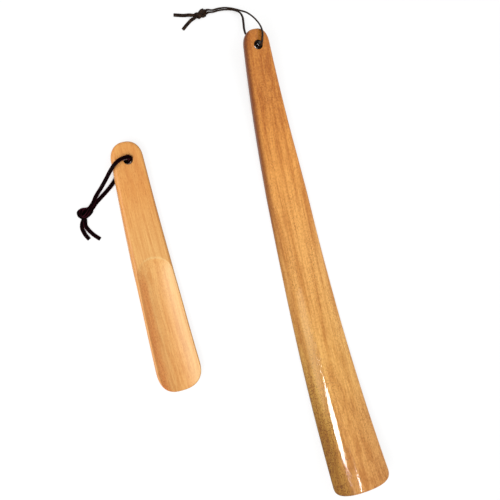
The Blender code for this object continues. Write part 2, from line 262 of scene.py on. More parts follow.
@dataclass(frozen=True)
class Beech:
    """Steamed beech: fine straight fibres along Y, soft growth bands and short ray flecks.

    A tone for each part of the length comes first. Every pattern then darkens it, by a share of
    its own tint, and so does a painted shade along the -X edge. Last a painted highlight and
    sheen, and the hole's painted shade, cover it. Patterns are sized in millimetres across and
    along the grain, and steps say between which two of a pattern's values it sets in. The
    flecks and fibres of real beech are finer than this view can show, so they are drawn a
    little coarser.
    """

    name: str
    tones: tuple[tuple[float, str], ...]
    band_tint: str
    line_tint: str
    pore_tint: str
    side_tint: str
    side_share: float
    side_run: Pair
    # The edge tint is a painted shade along the -X side, the pale colour a painted highlight and
    # sheen, and the bore colour the hole's painted shade.
    painted_shade_tint: str
    painted_shade_share: float
    painted_light_colour: str
    painted_light_share: float
    bore_shade_colour: str
    place: Point
    grain_turn: float
    band_mm: Pair
    line_mm: Pair
    fibre_mm: Pair
    pore_mm: Pair
    mottle_mm: Pair
    band_share: float
    line_share: float
    fibre_share: float
    pore_share: float
    mottle_share: float
    roughness: float
    specular: float
    coat: float
    coat_roughness: float
    bump_mm: float
    ripple_mm: float
    drift_mm: Pair = (9.0, 40.0)
    waver_mm: Pair = (5.0, 45.0)
    wave_mm: Pair = (3.0, 2.0)
    band_steps: Pair = (0.40, 0.68)
    line_steps: Pair = (0.55, 1.0)
    fibre_steps: Pair = (0.40, 0.72)
    mottle_steps: Pair = (0.40, 0.66)
    pore_steps: Pair = (0.50, 0.15)
    drift_steps: Pair = (0.35, 0.65)
    side_steps: Pair = (0.02, -0.52)
    waver_share: float = 0.5
    side_pore_gain: float = 1.6
    ior: float = 1.5

    def along_grain(self, tree: Tree, coords: Socket, size: Pair) -> Socket:
        """Coordinates whose unit is one cell of a pattern that runs with the grain.

        Args:
            tree: the material's node tree.
            coords: object coordinates.
            size: a cell's size across and along the grain, in millimetres.

        Returns:
            The coordinates' socket.
        """
        across, along = size
        turned = add(tree, "ShaderNodeMapping", {"vector_type": "POINT"},
                     {"Vector": coords, "Location": self.place,
                      "Rotation": (0.0, 0.0, self.grain_turn)})
        scaled = add(tree, "ShaderNodeMapping", {"vector_type": "POINT"},
                     {"Vector": turned.outputs[0],
                      "Scale": (1 / (across * MM), 1 / (along * MM), 1 / (across * MM))})
        return scaled.outputs[0]

    def noise(self, tree: Tree, coords: Socket, size: Pair, detail: float) -> Socket:
        """Smooth noise that runs with the grain.

        Args:
            tree: the material's node tree.
            coords: object coordinates.
            size: a blotch's size across and along the grain, in millimetres.
            detail: how many finer layers it has.

        Returns:
            The noise's socket.
        """
        cells = self.along_grain(tree, coords, size)
        return add(tree, "ShaderNodeTexNoise", None,
                   {"Vector": cells, "Scale": 1.0, "Detail": detail}).outputs[0]

    def board_tone(self, tree: Tree, along: Socket) -> Socket:
        """The tone for each share of the length, from the handle's end to the tip.

        Args:
            tree: the material's node tree.
            along: the share of the length.

        Returns:
            The colour's socket.
        """
        ramp = add(tree, "ShaderNodeValToRGB", None, {"Fac": along})
        stops = ramp.color_ramp.elements
        while len(stops) < len(self.tones):
            stops.new(0.5)
        for stop, (place, colour) in zip(stops, self.tones):
            stop.position = place
            stop.color = hex_colour(colour)
        return ramp.outputs[0]

    def side_band(self, tree: Tree, coords: Socket, marks: dict[str, Socket]) -> Socket:
        """How much of the darker heart wood shows along the blade's -X edge.

        It is a smooth step of across plus a share of noise, times a smooth step of along,
        times hollow.

        Args:
            tree: the material's node tree.
            coords: object coordinates.
            marks: each of the horn's attributes by name.

        Returns:
            The share's socket.
        """
        noise = self.noise(tree, coords, self.waver_mm, detail=2.0)
        waver = add(tree, "ShaderNodeMath", TIMES_AND_PLUS,
                    {0: noise, 1: self.waver_share, 2: marks["across"]})
        share = marks["hollow"]
        for value, (low, high) in ((waver.outputs[0], self.side_steps),
                                   (marks["along"], self.side_run)):
            step = add(tree, "ShaderNodeMapRange", SMOOTH,
                       {"Value": value, "From Min": low, "From Max": high})
            share = add(tree, "ShaderNodeMath", TIMES, {0: share, 1: step.outputs[0]}).outputs[0]
        return share

    def pores(self, tree: Tree, coords: Socket, side: Socket) -> Socket:
        """Short dark dashes along the grain, in drifts, and thickest in the side band.

        Args:
            tree: the material's node tree.
            coords: object coordinates.
            side: how much of the side band shows.

        Returns:
            The dashes' socket.
        """
        cells = add(tree, "ShaderNodeTexVoronoi", None,
                    {"Vector": self.along_grain(tree, coords, self.pore_mm), "Scale": 1.0})
        drift = self.noise(tree, coords, self.drift_mm, detail=2.0)
        dashes, drifts = (
            add(tree, "ShaderNodeMapRange", SMOOTH,
                {"Value": value, "From Min": low, "From Max": high}).outputs[0]
            for value, (low, high) in ((cells.outputs["Distance"], self.pore_steps),
                                       (drift, self.drift_steps)))
        more = add(tree, "ShaderNodeMath", TIMES_AND_PLUS,
                   {0: side, 1: self.side_pore_gain, 2: drifts})
        share = add(tree, "ShaderNodeMath", {**TIMES, "use_clamp": True},
                    {0: more.outputs[0], 1: self.pore_share})
        return add(tree, "ShaderNodeMath", TIMES, {0: dashes, 1: share.outputs[0]}).outputs[0]

    def figured(self, tree: Tree, coords: Socket, marks: dict[str, Socket],
                fibre: Socket) -> Socket:
        """The wood's colour: its tone under the patterns and the marks.

        Each mixes its tint in by its share. The painted highlight and sheen and the hole's painted
        shade cover what lies under them, and all the others multiply it, the painted shade along
        the -X edge among them.

        Args:
            tree: the material's node tree.
            coords: object coordinates.
            marks: each of the horn's attributes by name.
            fibre: the fibres' noise.

        Returns:
            The colour's socket.
        """
        rings = add(tree, "ShaderNodeTexWave", {"wave_profile": "SAW"},
                    {"Vector": self.along_grain(tree, coords, self.line_mm),
                     "Scale": 0.5, "Distortion": 4.0, "Detail": 2.0, "Detail Scale": 0.8})
        bands = self.noise(tree, coords, self.band_mm, detail=4.0)
        mottle = self.noise(tree, coords, self.mottle_mm, detail=2.0)
        tone = self.board_tone(tree, marks["along"])
        for pattern, (low, high), share, tint in (
                (bands, self.band_steps, self.band_share, self.band_tint),
                (rings.outputs["Fac"], self.line_steps, self.line_share, self.line_tint),
                (fibre, self.fibre_steps, self.fibre_share, self.line_tint),
                (mottle, self.mottle_steps, self.mottle_share, self.band_tint)):
            shown = add(tree, "ShaderNodeMapRange", SMOOTH,
                        {"Value": pattern, "From Min": low, "From Max": high, "To Max": share})
            tone = add(tree, "ShaderNodeMix", DARKEN,
                       {MIX_SHARE: shown.outputs[0], MIX_UNDER: tone,
                        MIX_OVER: hex_colour(tint)}).outputs[MIX_OUT]
        side = self.side_band(tree, coords, marks)
        for mark, share, colour, blend in (
                (side, self.side_share, self.side_tint, DARKEN),
                (self.pores(tree, coords, side), 1.0, self.pore_tint, DARKEN),
                # Painted shade along the -X edge, then a painted highlight and sheen, then the
                # hole's painted shade.
                (marks["edge"], self.painted_shade_share, self.painted_shade_tint, DARKEN),
                (marks["painted_light"], self.painted_light_share, self.painted_light_colour, COVER),
                (marks["bore"], 1.0, self.bore_shade_colour, COVER)):
            shown = add(tree, "ShaderNodeMath", TIMES, {0: mark, 1: share})
            tone = add(tree, "ShaderNodeMix", blend,
                       {MIX_SHARE: shown.outputs[0], MIX_UNDER: tone,
                        MIX_OVER: hex_colour(colour)}).outputs[MIX_OUT]
        return tone

    def build(self) -> bpy.types.Material:
        """The wood's material.

        Returns:
            A new material that reads object coordinates and the horn's own attributes.
        """
        material, tree, shader = new_material(self.name)
        coords = add(tree, "ShaderNodeTexCoord").outputs["Object"]
        marks = {name: add(tree, "ShaderNodeAttribute", {"attribute_name": name}).outputs["Fac"]
                 for name in MARKS}
        fibre = self.noise(tree, coords, self.fibre_mm, detail=3.0)
        wave = self.noise(tree, coords, self.wave_mm, detail=3.0)
        relief, ripple = (
            add(tree, "ShaderNodeBump", None,
                {"Height": height, "Strength": 1.0, "Distance": depth * MM}).outputs[0]
            for height, depth in ((fibre, self.bump_mm), (wave, self.ripple_mm)))
        feed(tree, shader, {
            "Base Color": self.figured(tree, coords, marks, fibre), "Normal": relief,
            "Roughness": self.roughness, "Specular IOR Level": self.specular, "IOR": self.ior,
            "Coat Weight": self.coat, "Coat Roughness": self.coat_roughness,
            "Coat Normal": ripple})
        return material


@dataclass(frozen=True)
class Leather:
    """Waxed flat lace leather: a dark grained face, and cut edges that show its lighter inside."""

    name: str
    face: str
    worn: str
    cut_edge: str
    roughness: float
    specular: float
    wax: float
    wax_roughness: float = 0.14
    grain_mm: float = 0.35
    relief_mm: float = 0.1
    relief_share: float = 0.35
    worn_share: float = 0.7
    worn_steps: Pair = (0.45, 0.7)
    blotch_grains: float = 6.0

    def build(self) -> bpy.types.Material:
        """The leather's material.

        Returns:
            A new material that reads object coordinates and the lace's own cut_edge attribute.
        """
        material, tree, shader = new_material(self.name)
        coords = add(tree, "ShaderNodeTexCoord").outputs["Object"]
        blotch = add(tree, "ShaderNodeTexNoise", None,
                     {"Vector": coords, "Scale": 1 / (self.blotch_grains * self.grain_mm * MM),
                      "Detail": 3.0})
        low, high = self.worn_steps
        wear = add(tree, "ShaderNodeMapRange", SMOOTH,
                   {"Value": blotch.outputs[0], "From Min": low, "From Max": high,
                    "To Max": self.worn_share})
        edge = add(tree, "ShaderNodeAttribute", {"attribute_name": "cut_edge"})
        tone = hex_colour(self.face)
        for share, colour in ((wear.outputs[0], self.worn), (edge.outputs["Fac"], self.cut_edge)):
            tone = add(tree, "ShaderNodeMix", COVER,
                       {MIX_SHARE: share, MIX_UNDER: tone,
                        MIX_OVER: hex_colour(colour)}).outputs[MIX_OUT]
        grain = add(tree, "ShaderNodeTexVoronoi", None,
                    {"Vector": coords, "Scale": 1 / (self.grain_mm * MM)})
        relief = add(tree, "ShaderNodeBump", {"invert": True},
                     {"Height": grain.outputs["Distance"], "Strength": self.relief_share,
                      "Distance": self.relief_mm * MM})
        feed(tree, shader, {
            "Base Color": tone, "Normal": relief.outputs[0], "Roughness": self.roughness,
            "Specular IOR Level": self.specular, "Coat Weight": self.wax,
            "Coat Roughness": self.wax_roughness})
        return material


# Steamed beech under a glossy clear lacquer: honey brown, with a hard narrow highlight.
LACQUERED_BEECH = Beech(
    name="lacquered_steamed_beech",
    tones=((0.0, "#D98C3A"), (0.10, "#DD903F"), (0.20, "#ECA04A"), (0.30, "#FAB25A"),
           (0.50, "#FDBF6B"), (0.72, "#FBC36D"), (0.88, "#EDB061"), (1.0, "#E3A45B")),
    band_tint="#DCC6A8", line_tint="#CFAE88", pore_tint="#A07448", side_tint="#C8CA8A",
    # Its edge tint is a painted shade on the -X side, its pale colour a painted sheen streak on
    # the blade and its bore colour the hole's painted shade.
    side_share=0.9, side_run=(0.56, 0.90), painted_shade_tint="#A5825F", painted_shade_share=0.9,
    painted_light_colour="#FFCB7C", painted_light_share=0.28, bore_shade_colour="#0C0704",
    place=(0.013, 0.0, 0.002), grain_turn=math.radians(1.2), band_mm=(4.5, 120.0),
    line_mm=(11.0, 210.0), fibre_mm=(0.8, 22.0), pore_mm=(0.9, 1.8), mottle_mm=(1.3, 1.8),
    band_share=0.85, line_share=0.35, fibre_share=0.46, pore_share=0.47, mottle_share=0.52,
    roughness=0.5, specular=0.1, coat=0.45, coat_roughness=0.022, bump_mm=0.02,
    ripple_mm=0.0002)
# Beech sanded fine and left satin: paler and pinker, with only a soft sheen.
SANDED_BEECH = Beech(
    name="sanded_satin_beech",
    tones=((0.0, "#FAB35D"), (0.20, "#F9B25C"), (0.42, "#FCC171"), (0.60, "#FAC174"),
           (0.85, "#F8BC6F"), (1.0, "#F7BA6C")),
    band_tint="#EEDCC6", line_tint="#E4C8A6", pore_tint="#C89868", side_tint="#FFE2CC",
    # Its edge tint is a painted shade on the -X rim, its pale colour a painted highlight on the
    # scoop's edge and a painted sheen up its +X wall, and its bore colour the hole's painted
    # shade.
    side_share=0.8, side_run=(0.48, 0.58), painted_shade_tint="#E8C8A8", painted_shade_share=0.5,
    painted_light_colour="#FFE29A", painted_light_share=0.38, bore_shade_colour="#140A06",
    place=(0.031, 0.05, 0.004), grain_turn=math.radians(-1.0), band_mm=(3.0, 110.0),
    line_mm=(8.0, 180.0), fibre_mm=(0.6, 18.0), pore_mm=(0.8, 2.4), mottle_mm=(1.0, 1.6),
    band_share=0.7, line_share=0.3, fibre_share=0.5, pore_share=0.25, mottle_share=0.35,
    roughness=0.45, specular=0.6, coat=0.0, coat_roughness=0.3, bump_mm=0.02,
    ripple_mm=0.002)
# Waxed brown lace leather: nearly black, and a greyer brown where it has been handled.
BROWN_LEATHER = Leather(
    name="waxed_brown_lace_leather", face="#1C110B", worn="#4E3826", cut_edge="#2C1D14",
    roughness=0.5, specular=0.08, wax=0.04)
# The same leather dyed black, with a wine red tint in its cut edges.
DARK_LEATHER = Leather(
    name="waxed_dark_lace_leather", face="#080102", worn="#180508", cut_edge="#38101A",
    roughness=0.45, specular=0.01, wax=0.01)


@dataclass(frozen=True)
class Horn:
    """One wooden shoehorn: a handle with a lace hole, and a blade hollowed by a scoop.

    The fields give its sizes, then how fine its mesh is, and from hollow_depth on where its
    wood is marked darker, where a painted highlight and sheen lie and where a painted shade
    lies along its -X edge. Most shares are of the length, or across of half the width.
    """

    node: str
    lies: Lies
    slot: str
    finish: Beech
    centre_x: float
    end_y: float
    length: float
    handle_width: float
    neck_width: float
    blade_width: float
    end_thickness: float
    thickness: float
    handle_crown: float
    blade_edge: float
    blade_wall: float
    edge_radius: float
    handle_round: float
    blade_round: float
    blade_power: float
    handle_rise: float
    blade_rise: float
    hole_setback: float
    neck_share: float
    rest_shares: Pair
    thin_shares: Pair
    scoop_share: float
    deep_share: float
    handle_power: float = 2.0
    hole_diameter: float = 0.0070
    hole_rim_radius: float = 0.0008
    scoop_power: float = 2.0
    scoop_rim: float = 0.0013
    scoop_arch: float = 0.0125
    taper_share: float = 0.16
    corner_share: float = 0.42
    patch_reach: float = 0.009
    arch_lead: float = 0.030
    arch_fade: float = 0.060
    edge_overrun: float = 1.05
    half_columns: int = 24
    rim_columns: int = 6
    row_step: float = 0.0015
    row_growth: float = 1.3
    arch_rows: int = 26
    blade_rows: int = 90
    tip_rows: int = 42
    turn_points: int = 73
    side_points: int = 12
    edge_points: int = 12
    ray_points: int = 11
    bore_points: int = 6
    wall_points: int = 5
    outline_points: tuple[int, int] = (160, 40)
    hollow_depth: float = 0.0012
    # Where the painted highlight on the scoop's edge, the painted sheen up its +X wall and the
    # painted sheen streak on a back-up blade lie.
    rim_depths: Pair = (0.0001, 0.0007)
    rim_shares: Pair = (-0.9, -0.1)
    wall_shares: Pair = (0.30, 1.0)
    streak_share: float = -0.58
    streak_half_shares: Pair = (0.06, 0.30)
    streak_start_shares: Pair = (0.52, 0.68)
    streak_end_shares: Pair = (0.74, 0.90)
    # Where the painted shade along the -X side lies, and how it fades along the horn.
    painted_shade_shares: Pair = (0.70, 1.0)
    fade_shares: Pair = (0.20, 0.55)
    fade_lead_share: float = 0.05
    faded_back: float = 0.3
    faded_handle: float = 0.6

    def straight_half(self, d: np.ndarray) -> np.ndarray:
        """Half the width between the straight sides: linear to the neck, then to the end.

        Args:
            d: distances from the handle's end.

        Returns:
            Half the width at each distance.
        """
        places = (0.0, self.neck_share * self.length, self.length)
        widths = (self.handle_width, self.neck_width, self.blade_width)
        return np.interp(d, places, widths) / 2

    def outline_half(self, d: np.ndarray) -> np.ndarray:
        """Half the real width: the straight one times a superellipse's share at each end.

        Args:
            d: distances from the handle's end.

        Returns:
            Half the width at each distance.
        """
        share = np.ones_like(d)
        for from_end, depth, power in ((d, self.handle_round, self.handle_power),
                                       (self.length - d, self.blade_round, self.blade_power)):
            left = np.clip(1 - from_end / depth, 0.0, 1.0)
            share = share * (1 - left ** power) ** (1 / power)
        return self.straight_half(d) * share

    def body_thickness(self, d: np.ndarray) -> np.ndarray:
        """From back to face: it grows from the handle's end as half of a smooth step.

        Args:
            d: distances from the handle's end.

        Returns:
            The thickness at each distance.
        """
        full = self.taper_share * self.length
        grown = 2 * ease(-full, full, np.minimum(d, full)) - 1
        return self.end_thickness + (self.thickness - self.end_thickness) * grown

    def crown(self, d: np.ndarray) -> np.ndarray:
        """How far the back's middle stands proud of its edges: it grows as a smooth step.

        Args:
            d: distances from the handle's end.

        Returns:
            The crown's height at each distance.
        """
        start, end = (share * self.length for share in self.thin_shares)
        more = self.thickness - self.blade_edge - self.handle_crown
        return self.handle_crown + more * ease(start, end, d)

    def rise(self, d: np.ndarray) -> np.ndarray:
        """The lift off the table: quadratic towards each end, nothing on the flat stretch.

        Args:
            d: distances from the handle's end.

        Returns:
            The lift at each distance.
        """
        start, end = (share * self.length for share in self.rest_shares)
        towards_handle = np.maximum(start - d, 0.0) / start
        towards_tip = np.maximum(d - end, 0.0) / (self.length - end)
        return self.handle_rise * towards_handle ** 2 + self.blade_rise * towards_tip ** 2

    def scoop_depth(self, x: np.ndarray, d: np.ndarray) -> np.ndarray:
        """How deep the scoop is: a parabola across, deepening from its arch as 1 - (1 - t)^p.

        Args:
            x: places across.
            d: distances from the handle's end.

        Returns:
            The depth at each place, 0 outside the scoop.
        """
        from_start = d - self.scoop_share * self.length
        left = np.clip(1 - from_start / self.scoop_arch, 0.0, 1.0)
        half = (self.straight_half(d) - self.scoop_rim) * np.sqrt(1 - left ** 2)
        across = np.abs(x) / np.maximum(half, WELD_DISTANCE)
        run = np.clip(from_start / (self.deep_share * self.length), 0.0, 1.0)
        depth = (self.thickness - self.blade_wall) * (1 - (1 - run) ** self.scoop_power)
        inside = (from_start > 0) & (across < 1)
        return np.where(inside, depth * (1 - across ** 2), 0.0)

    def outline(self) -> np.ndarray:
        """The outline's +X half, from the handle's end to the tip.

        Returns:
            A polyline's points as rows of x and d.
        """
        round_points, straight_points = self.outline_points
        angles = np.linspace(0.0, np.pi / 2, round_points)
        turn = self.handle_round * (1 - np.cos(angles) ** (2 / self.handle_power))
        tip = self.length - self.blade_round * (1 - np.cos(angles) ** (2 / self.blade_power))
        straight = np.linspace(self.handle_round, self.length - self.blade_round, straight_points)
        d = np.concatenate([turn, straight[1:-1], tip[::-1]])
        return np.stack([self.outline_half(d), d], axis=-1)

    def edge_distance(self, x: np.ndarray, d: np.ndarray) -> np.ndarray:
        """How far each plan point is from the outline."""
        points = np.stack([np.abs(x).ravel(), d.ravel()], axis=-1)
        return distance_to_line(points, self.outline()).reshape(x.shape)

    def lift(self, x: np.ndarray, d: np.ndarray, n: np.ndarray) -> np.ndarray:
        """Points of the horn's own terms in the shared frame."""
        up = n if self.lies is Lies.SCOOP_UP else self.body_thickness(d) - n
        return np.stack([self.centre_x + x, self.end_y - d, self.rise(d) + up], axis=-1)

    def height(self, x: np.ndarray, d: np.ndarray, edge: np.ndarray, skin: Skin) -> np.ndarray:
        """The height n of a skin, rounded over within one radius of the outline.

        The face is the thickness less the scoop's depth, and the back is the crown times the
        square of x over the half width. Within the radius r of the outline both draw in by
        r less the root of r squared less (r - distance) squared.

        Args:
            x: places across.
            d: distances from the handle's end.
            edge: distances from the outline.
            skin: which of the two surfaces.

        Returns:
            The height at each place.
        """
        face = self.body_thickness(d) - self.scoop_depth(x, d)
        back = self.crown(d) * (x / self.straight_half(d)) ** 2
        radius = np.minimum(self.edge_radius, self.corner_share * (face - back))
        inset = radius - np.sqrt(radius ** 2 - np.maximum(radius - edge, 0.0) ** 2)
        return face - inset if skin is Skin.FACE else back + inset

    def columns(self) -> tuple[np.ndarray, np.ndarray]:
        """The grid's columns, which crowd towards the scoop's edges and the outline.

        Returns:
            Each column's share of the scoop's half width, and of the rim beyond it.
        """
        inner = np.sin(np.linspace(-np.pi / 2, np.pi / 2, 2 * self.half_columns + 1))
        rim = 1 - (1 - np.arange(1, self.rim_columns + 1) / self.rim_columns) ** 2
        scoop = np.concatenate([-np.ones(len(rim)), inner, np.ones(len(rim))])
        beyond = np.concatenate([-rim[::-1], np.zeros(len(inner)), rim])
        return scoop, beyond

    def across(self, d: np.ndarray) -> np.ndarray:
        """x of each column at its d, where d's last axis runs over the columns."""
        scoop, beyond = self.columns()
        return scoop * (self.straight_half(d) - self.scoop_rim) + beyond * self.scoop_rim

    def column_ends(self) -> np.ndarray:
        """The d at which each column meets the rounded tip, by four rounds of substitution.

        Returns:
            One distance from the handle's end for each column.
        """
        scoop, _ = self.columns()
        d = np.full(len(scoop), self.length - self.blade_round / 2)
        for _ in range(4):
            share = np.clip(np.abs(self.across(d)) / self.straight_half(d), 0.0, 1.0)
            back_off = 1 - (1 - share ** self.blade_power) ** (1 / self.blade_power)
            d = self.length - self.blade_round * back_off
        return d

    def blade_plan(self) -> tuple[np.ndarray, np.ndarray]:
        """Plan grid from beside the hole to the tip, whose rows follow the arch and the tip.

        A row at base b lies at d = b + w a (1 - cos), where a is the arch's depth, cos belongs
        to the column's place on the arch, and w swells to 1 at the scoop's start. The last
        rows blend from a straight row to where each column meets the outline.

        Returns:
            x and d, each rows x columns.
        """
        scoop, _ = self.columns()
        first = self.hole_setback + self.patch_reach
        start = self.scoop_share * self.length
        lead = start - self.arch_lead
        last = self.length - 2 * self.blade_round
        plain = np.linspace(first, lead, int((lead - first) / self.row_step))
        swell = np.linspace(lead, start, self.arch_rows)[1:]
        growth = np.linspace(0.0, 1.0, self.blade_rows)[1:] ** self.row_growth
        leave = start + (last - start) * growth
        base = np.concatenate([plain, swell, leave])
        weight = ease(lead, start, base) * (1 - ease(start, start + self.arch_fade, base))
        bow = self.scoop_arch * (1 - np.sqrt(np.clip(1 - scoop ** 2, 0.0, 1.0)))
        body = base[:, None] + weight[:, None] * bow
        share = 1 - (1 - np.linspace(0.0, 1.0, self.tip_rows)[1:, None]) ** 2
        tip = (1 - share) * last + share * self.column_ends()
        d = np.concatenate([body, tip])
        return self.across(d), d

    def end_plan(self) -> tuple[np.ndarray, np.ndarray, np.ndarray]:
        """Plan grid between the lace hole and the handle's end, as rays out of the hole.

        Each ray runs straight from the hole's rim circle to a point of the loop made of the
        handle's outline and the blade grid's first row. Near its outer end the points close
        up as 1 - cos, to round the edge over.

        Returns:
            x and d, each rays x points from the outside in, and a mask of the outline's rays.
        """
        first = self.hole_setback + self.patch_reach
        turn = np.linspace(-np.pi / 2, np.pi / 2, self.turn_points)
        side = np.linspace(first, self.handle_round, self.side_points)[:-1]
        power = 2 / self.handle_power
        d = np.concatenate([side, self.handle_round * (1 - np.cos(turn).clip(0.0) ** power),
                            side[::-1]])
        sign = np.concatenate([-np.ones(len(side)), np.sign(np.sin(turn)), np.ones(len(side))])
        outline = np.stack([sign * self.outline_half(d), d], axis=-1)
        row = self.across(np.full(len(self.columns()[0]), first))
        inner_row = np.stack([row[1:-1][::-1], np.full(len(row) - 2, first)], axis=-1)
        outer = np.concatenate([outline, inner_row])
        centre = np.array([0.0, self.hole_setback])
        rim = centre + unit(outer - centre) * (self.hole_diameter / 2 + self.hole_rim_radius)
        reach = np.linalg.norm(outer - rim, axis=-1)[:, None]
        quarter = np.linspace(0.0, np.pi / 2, self.edge_points)
        near = self.edge_overrun * self.edge_radius * (1 - np.cos(quarter)) / reach
        far = near[:, -1:] + (1 - near[:, -1:]) * np.linspace(0.0, 1.0, self.ray_points)[1:]
        share = np.concatenate([near, far], axis=1)[..., None]
        plan = outer[:, None] * (1 - share) + rim[:, None] * share
        on_outline = np.arange(len(outer)) < len(outline)
        return plan[..., 0], plan[..., 1], on_outline

    def bore(self, x: np.ndarray, d: np.ndarray) -> np.ndarray:
        """The lace hole's wall, from the face's quarter round to the back's.

        Args:
            x: the rim circle's places across.
            d: the rim circle's distances from the handle's end.

        Returns:
            A grid of points, one row for each place of the rim circle.
        """
        centre = np.array([0.0, self.hole_setback])
        far = np.full(x.shape, self.edge_radius)
        top = self.height(x, d, far, Skin.FACE)[:, None]
        bottom = self.height(x, d, far, Skin.BACK)[:, None]
        angle = np.linspace(0.0, np.pi / 2, self.bore_points)
        out = self.hole_rim_radius * (1 - np.sin(angle))
        down = self.hole_rim_radius * (1 - np.cos(angle))
        radius = self.hole_diameter / 2 + np.concatenate([out, out[::-1]])
        n = np.concatenate([top - down, bottom + down[::-1]], axis=1)
        away = unit(np.stack([x, d], axis=-1) - centre)[:, None]
        ring = centre + away * radius[None, :, None]
        return self.lift(ring[..., 0], ring[..., 1], n)

    def wall(self, x: np.ndarray, d: np.ndarray) -> np.ndarray:
        """The side wall along a line of the outline, straight between the two roundings.

        Args:
            x: the line's places across.
            d: the line's distances from the handle's end.

        Returns:
            A grid of points, one row for each place of the line.
        """
        zero = np.zeros_like(x)
        top = self.height(x, d, zero, Skin.FACE)[:, None]
        bottom = self.height(x, d, zero, Skin.BACK)[:, None]
        share = np.linspace(0.0, 1.0, self.wall_points)
        n = top + (bottom - top) * share
        wide = np.ones_like(share)
        return self.lift(x[:, None] * wide, d[:, None] * wide, n)

    def build(self) -> bpy.types.Object:
        """The whole horn as one closed piece.

        Returns:
            The mesh object, named after its node.
        """
        x, d = self.blade_plan()
        edge = self.edge_distance(x, d)
        edge[:, 0] = edge[:, -1] = edge[-1] = 0.0
        ray_x, ray_d, on_outline = self.end_plan()
        ray_edge = self.edge_distance(ray_x, ray_d)
        ray_edge[on_outline, 0] = 0.0
        patches = []
        for skin in Skin:
            patches.append((self.lift(x, d, self.height(x, d, edge, skin)), False))
            ray_n = self.height(ray_x, ray_d, ray_edge, skin)
            patches.append((self.lift(ray_x, ray_d, ray_n), True))
        patches.append((self.bore(ray_x[:, -1], ray_d[:, -1]), True))
        for line_x, line_d in ((x[:, 0], d[:, 0]), (x[:, -1], d[:, -1]), (x[-1], d[-1]),
                               (ray_x[on_outline, 0], ray_d[on_outline, 0])):
            patches.append((self.wall(line_x, line_d), False))
        piece = new_piece(self.node + "_wood", patches)
        self.dress(piece)
        return piece

    def dress(self, piece: bpy.types.Object) -> None:
        """Mark the wood, tie the piece to its node and give it its finish.

        Args:
            piece: the horn.
        """
        self.mark_surface(piece)
        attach(piece, self.node)
        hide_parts(self.node)
        piece.data.materials.append(self.finish.build())

    def scoop_marks(self, depth: np.ndarray, across: np.ndarray,
                    along: np.ndarray) -> tuple[np.ndarray, np.ndarray, np.ndarray]:
        """The marks of a horn that lies scoop up.

        hollow steps to 1 below the scoop's edge. The painted highlight is 1 along that edge, less
        towards -X, and as a painted sheen it steps to 1 up the +X wall. The painted shade on the
        -X edge is stronger along the blade.

        Args:
            depth: how far each point lies below the scoop's edge.
            across: x over half the width.
            along: d over the length.

        Returns:
            hollow, the painted highlight and sheen, and how strong the painted shade on the -X
            edge is.
        """
        hollow = ease(0.0, self.hollow_depth, depth)
        # A painted highlight along the scoop's edge and a painted sheen up its +X wall.
        rim = np.where(depth > 0, 1 - ease(*self.rim_depths, depth), 0.0)
        painted_light = np.maximum(rim * ease(*self.rim_shares, across),
                          hollow * ease(*self.wall_shares, across))
        blade = ease(self.scoop_share, self.scoop_share + self.fade_lead_share, along)
        return hollow, painted_light, self.faded_handle + (1 - self.faded_handle) * blade

    def back_marks(self, across: np.ndarray,
                   along: np.ndarray) -> tuple[np.ndarray, np.ndarray, np.ndarray]:
        """The marks of a horn that lies back up.

        All of it is hollow, as its side band reaches to its edge. The painted sheen, a lamp's
        reflection painted in, is 1 in the middle of a streak along its blade. The painted shade on
        the -X edge fades from the handle to the blade.

        Args:
            across: x over half the width.
            along: d over the length.

        Returns:
            hollow, the painted highlight and sheen, and how strong the painted shade on the -X
            edge is.
        """
        # A painted sheen streak along the blade, as of a broad lamp's reflection.
        streak = 1 - ease(*self.streak_half_shares, np.abs(across - self.streak_share))
        painted_light = (streak * ease(*self.streak_start_shares, along)
                * (1 - ease(*self.streak_end_shares, along)))
        faded = (1 - self.faded_back) * ease(*self.fade_shares, along)
        return np.ones_like(along), painted_light, 1 - faded

    def mark_surface(self, piece: bpy.types.Object) -> None:
        """Write the attributes that the wood's finish reads, one number for each point.

        across is x over half the width between the straight sides, along is d over the length,
        and bore, the hole's painted shade, is 1 within the hole's radius and falls to 0 over half
        of its rounded rim. edge, a painted shade, steps to 1 on the -X side. hollow, the painted
        highlight and sheen, and how strong edge is come from the marks of the side that lies up.

        Args:
            piece: the horn.
        """
        points = vertex_places(piece)
        x = points[:, 0] - self.centre_x
        d = self.end_y - points[:, 1]
        from_axis = np.hypot(x, d - self.hole_setback) - self.hole_diameter / 2
        middle = self.body_thickness(d) / 2
        depth = self.scoop_depth(x, d) * (self.lift(x, d, middle)[:, 2] < points[:, 2])
        across, along = x / self.straight_half(d), d / self.length
        hollow, painted_light, strength = (self.scoop_marks(depth, across, along)
                                  if self.lies is Lies.SCOOP_UP
                                  else self.back_marks(across, along))
        side = -x / self.outline_half(d).clip(self.edge_radius)
        # bore places the hole's painted shade, and edge the painted shade along the -X side.
        bore = 1 - ease(0.0, self.hole_rim_radius / 2, from_axis)
        edge = ease(*self.painted_shade_shares, side) * strength
        for name, values in zip(MARKS, (across, along, bore, edge, hollow, painted_light)):
            write_attribute(piece, name, values)

    def over_hole(self, points: tuple[Point, ...]) -> np.ndarray:
        """A lace's points, given from the hole's axis and the table, in the shared frame."""
        return np.array(points) + (self.centre_x, self.end_y - self.hole_setback, 0.0)


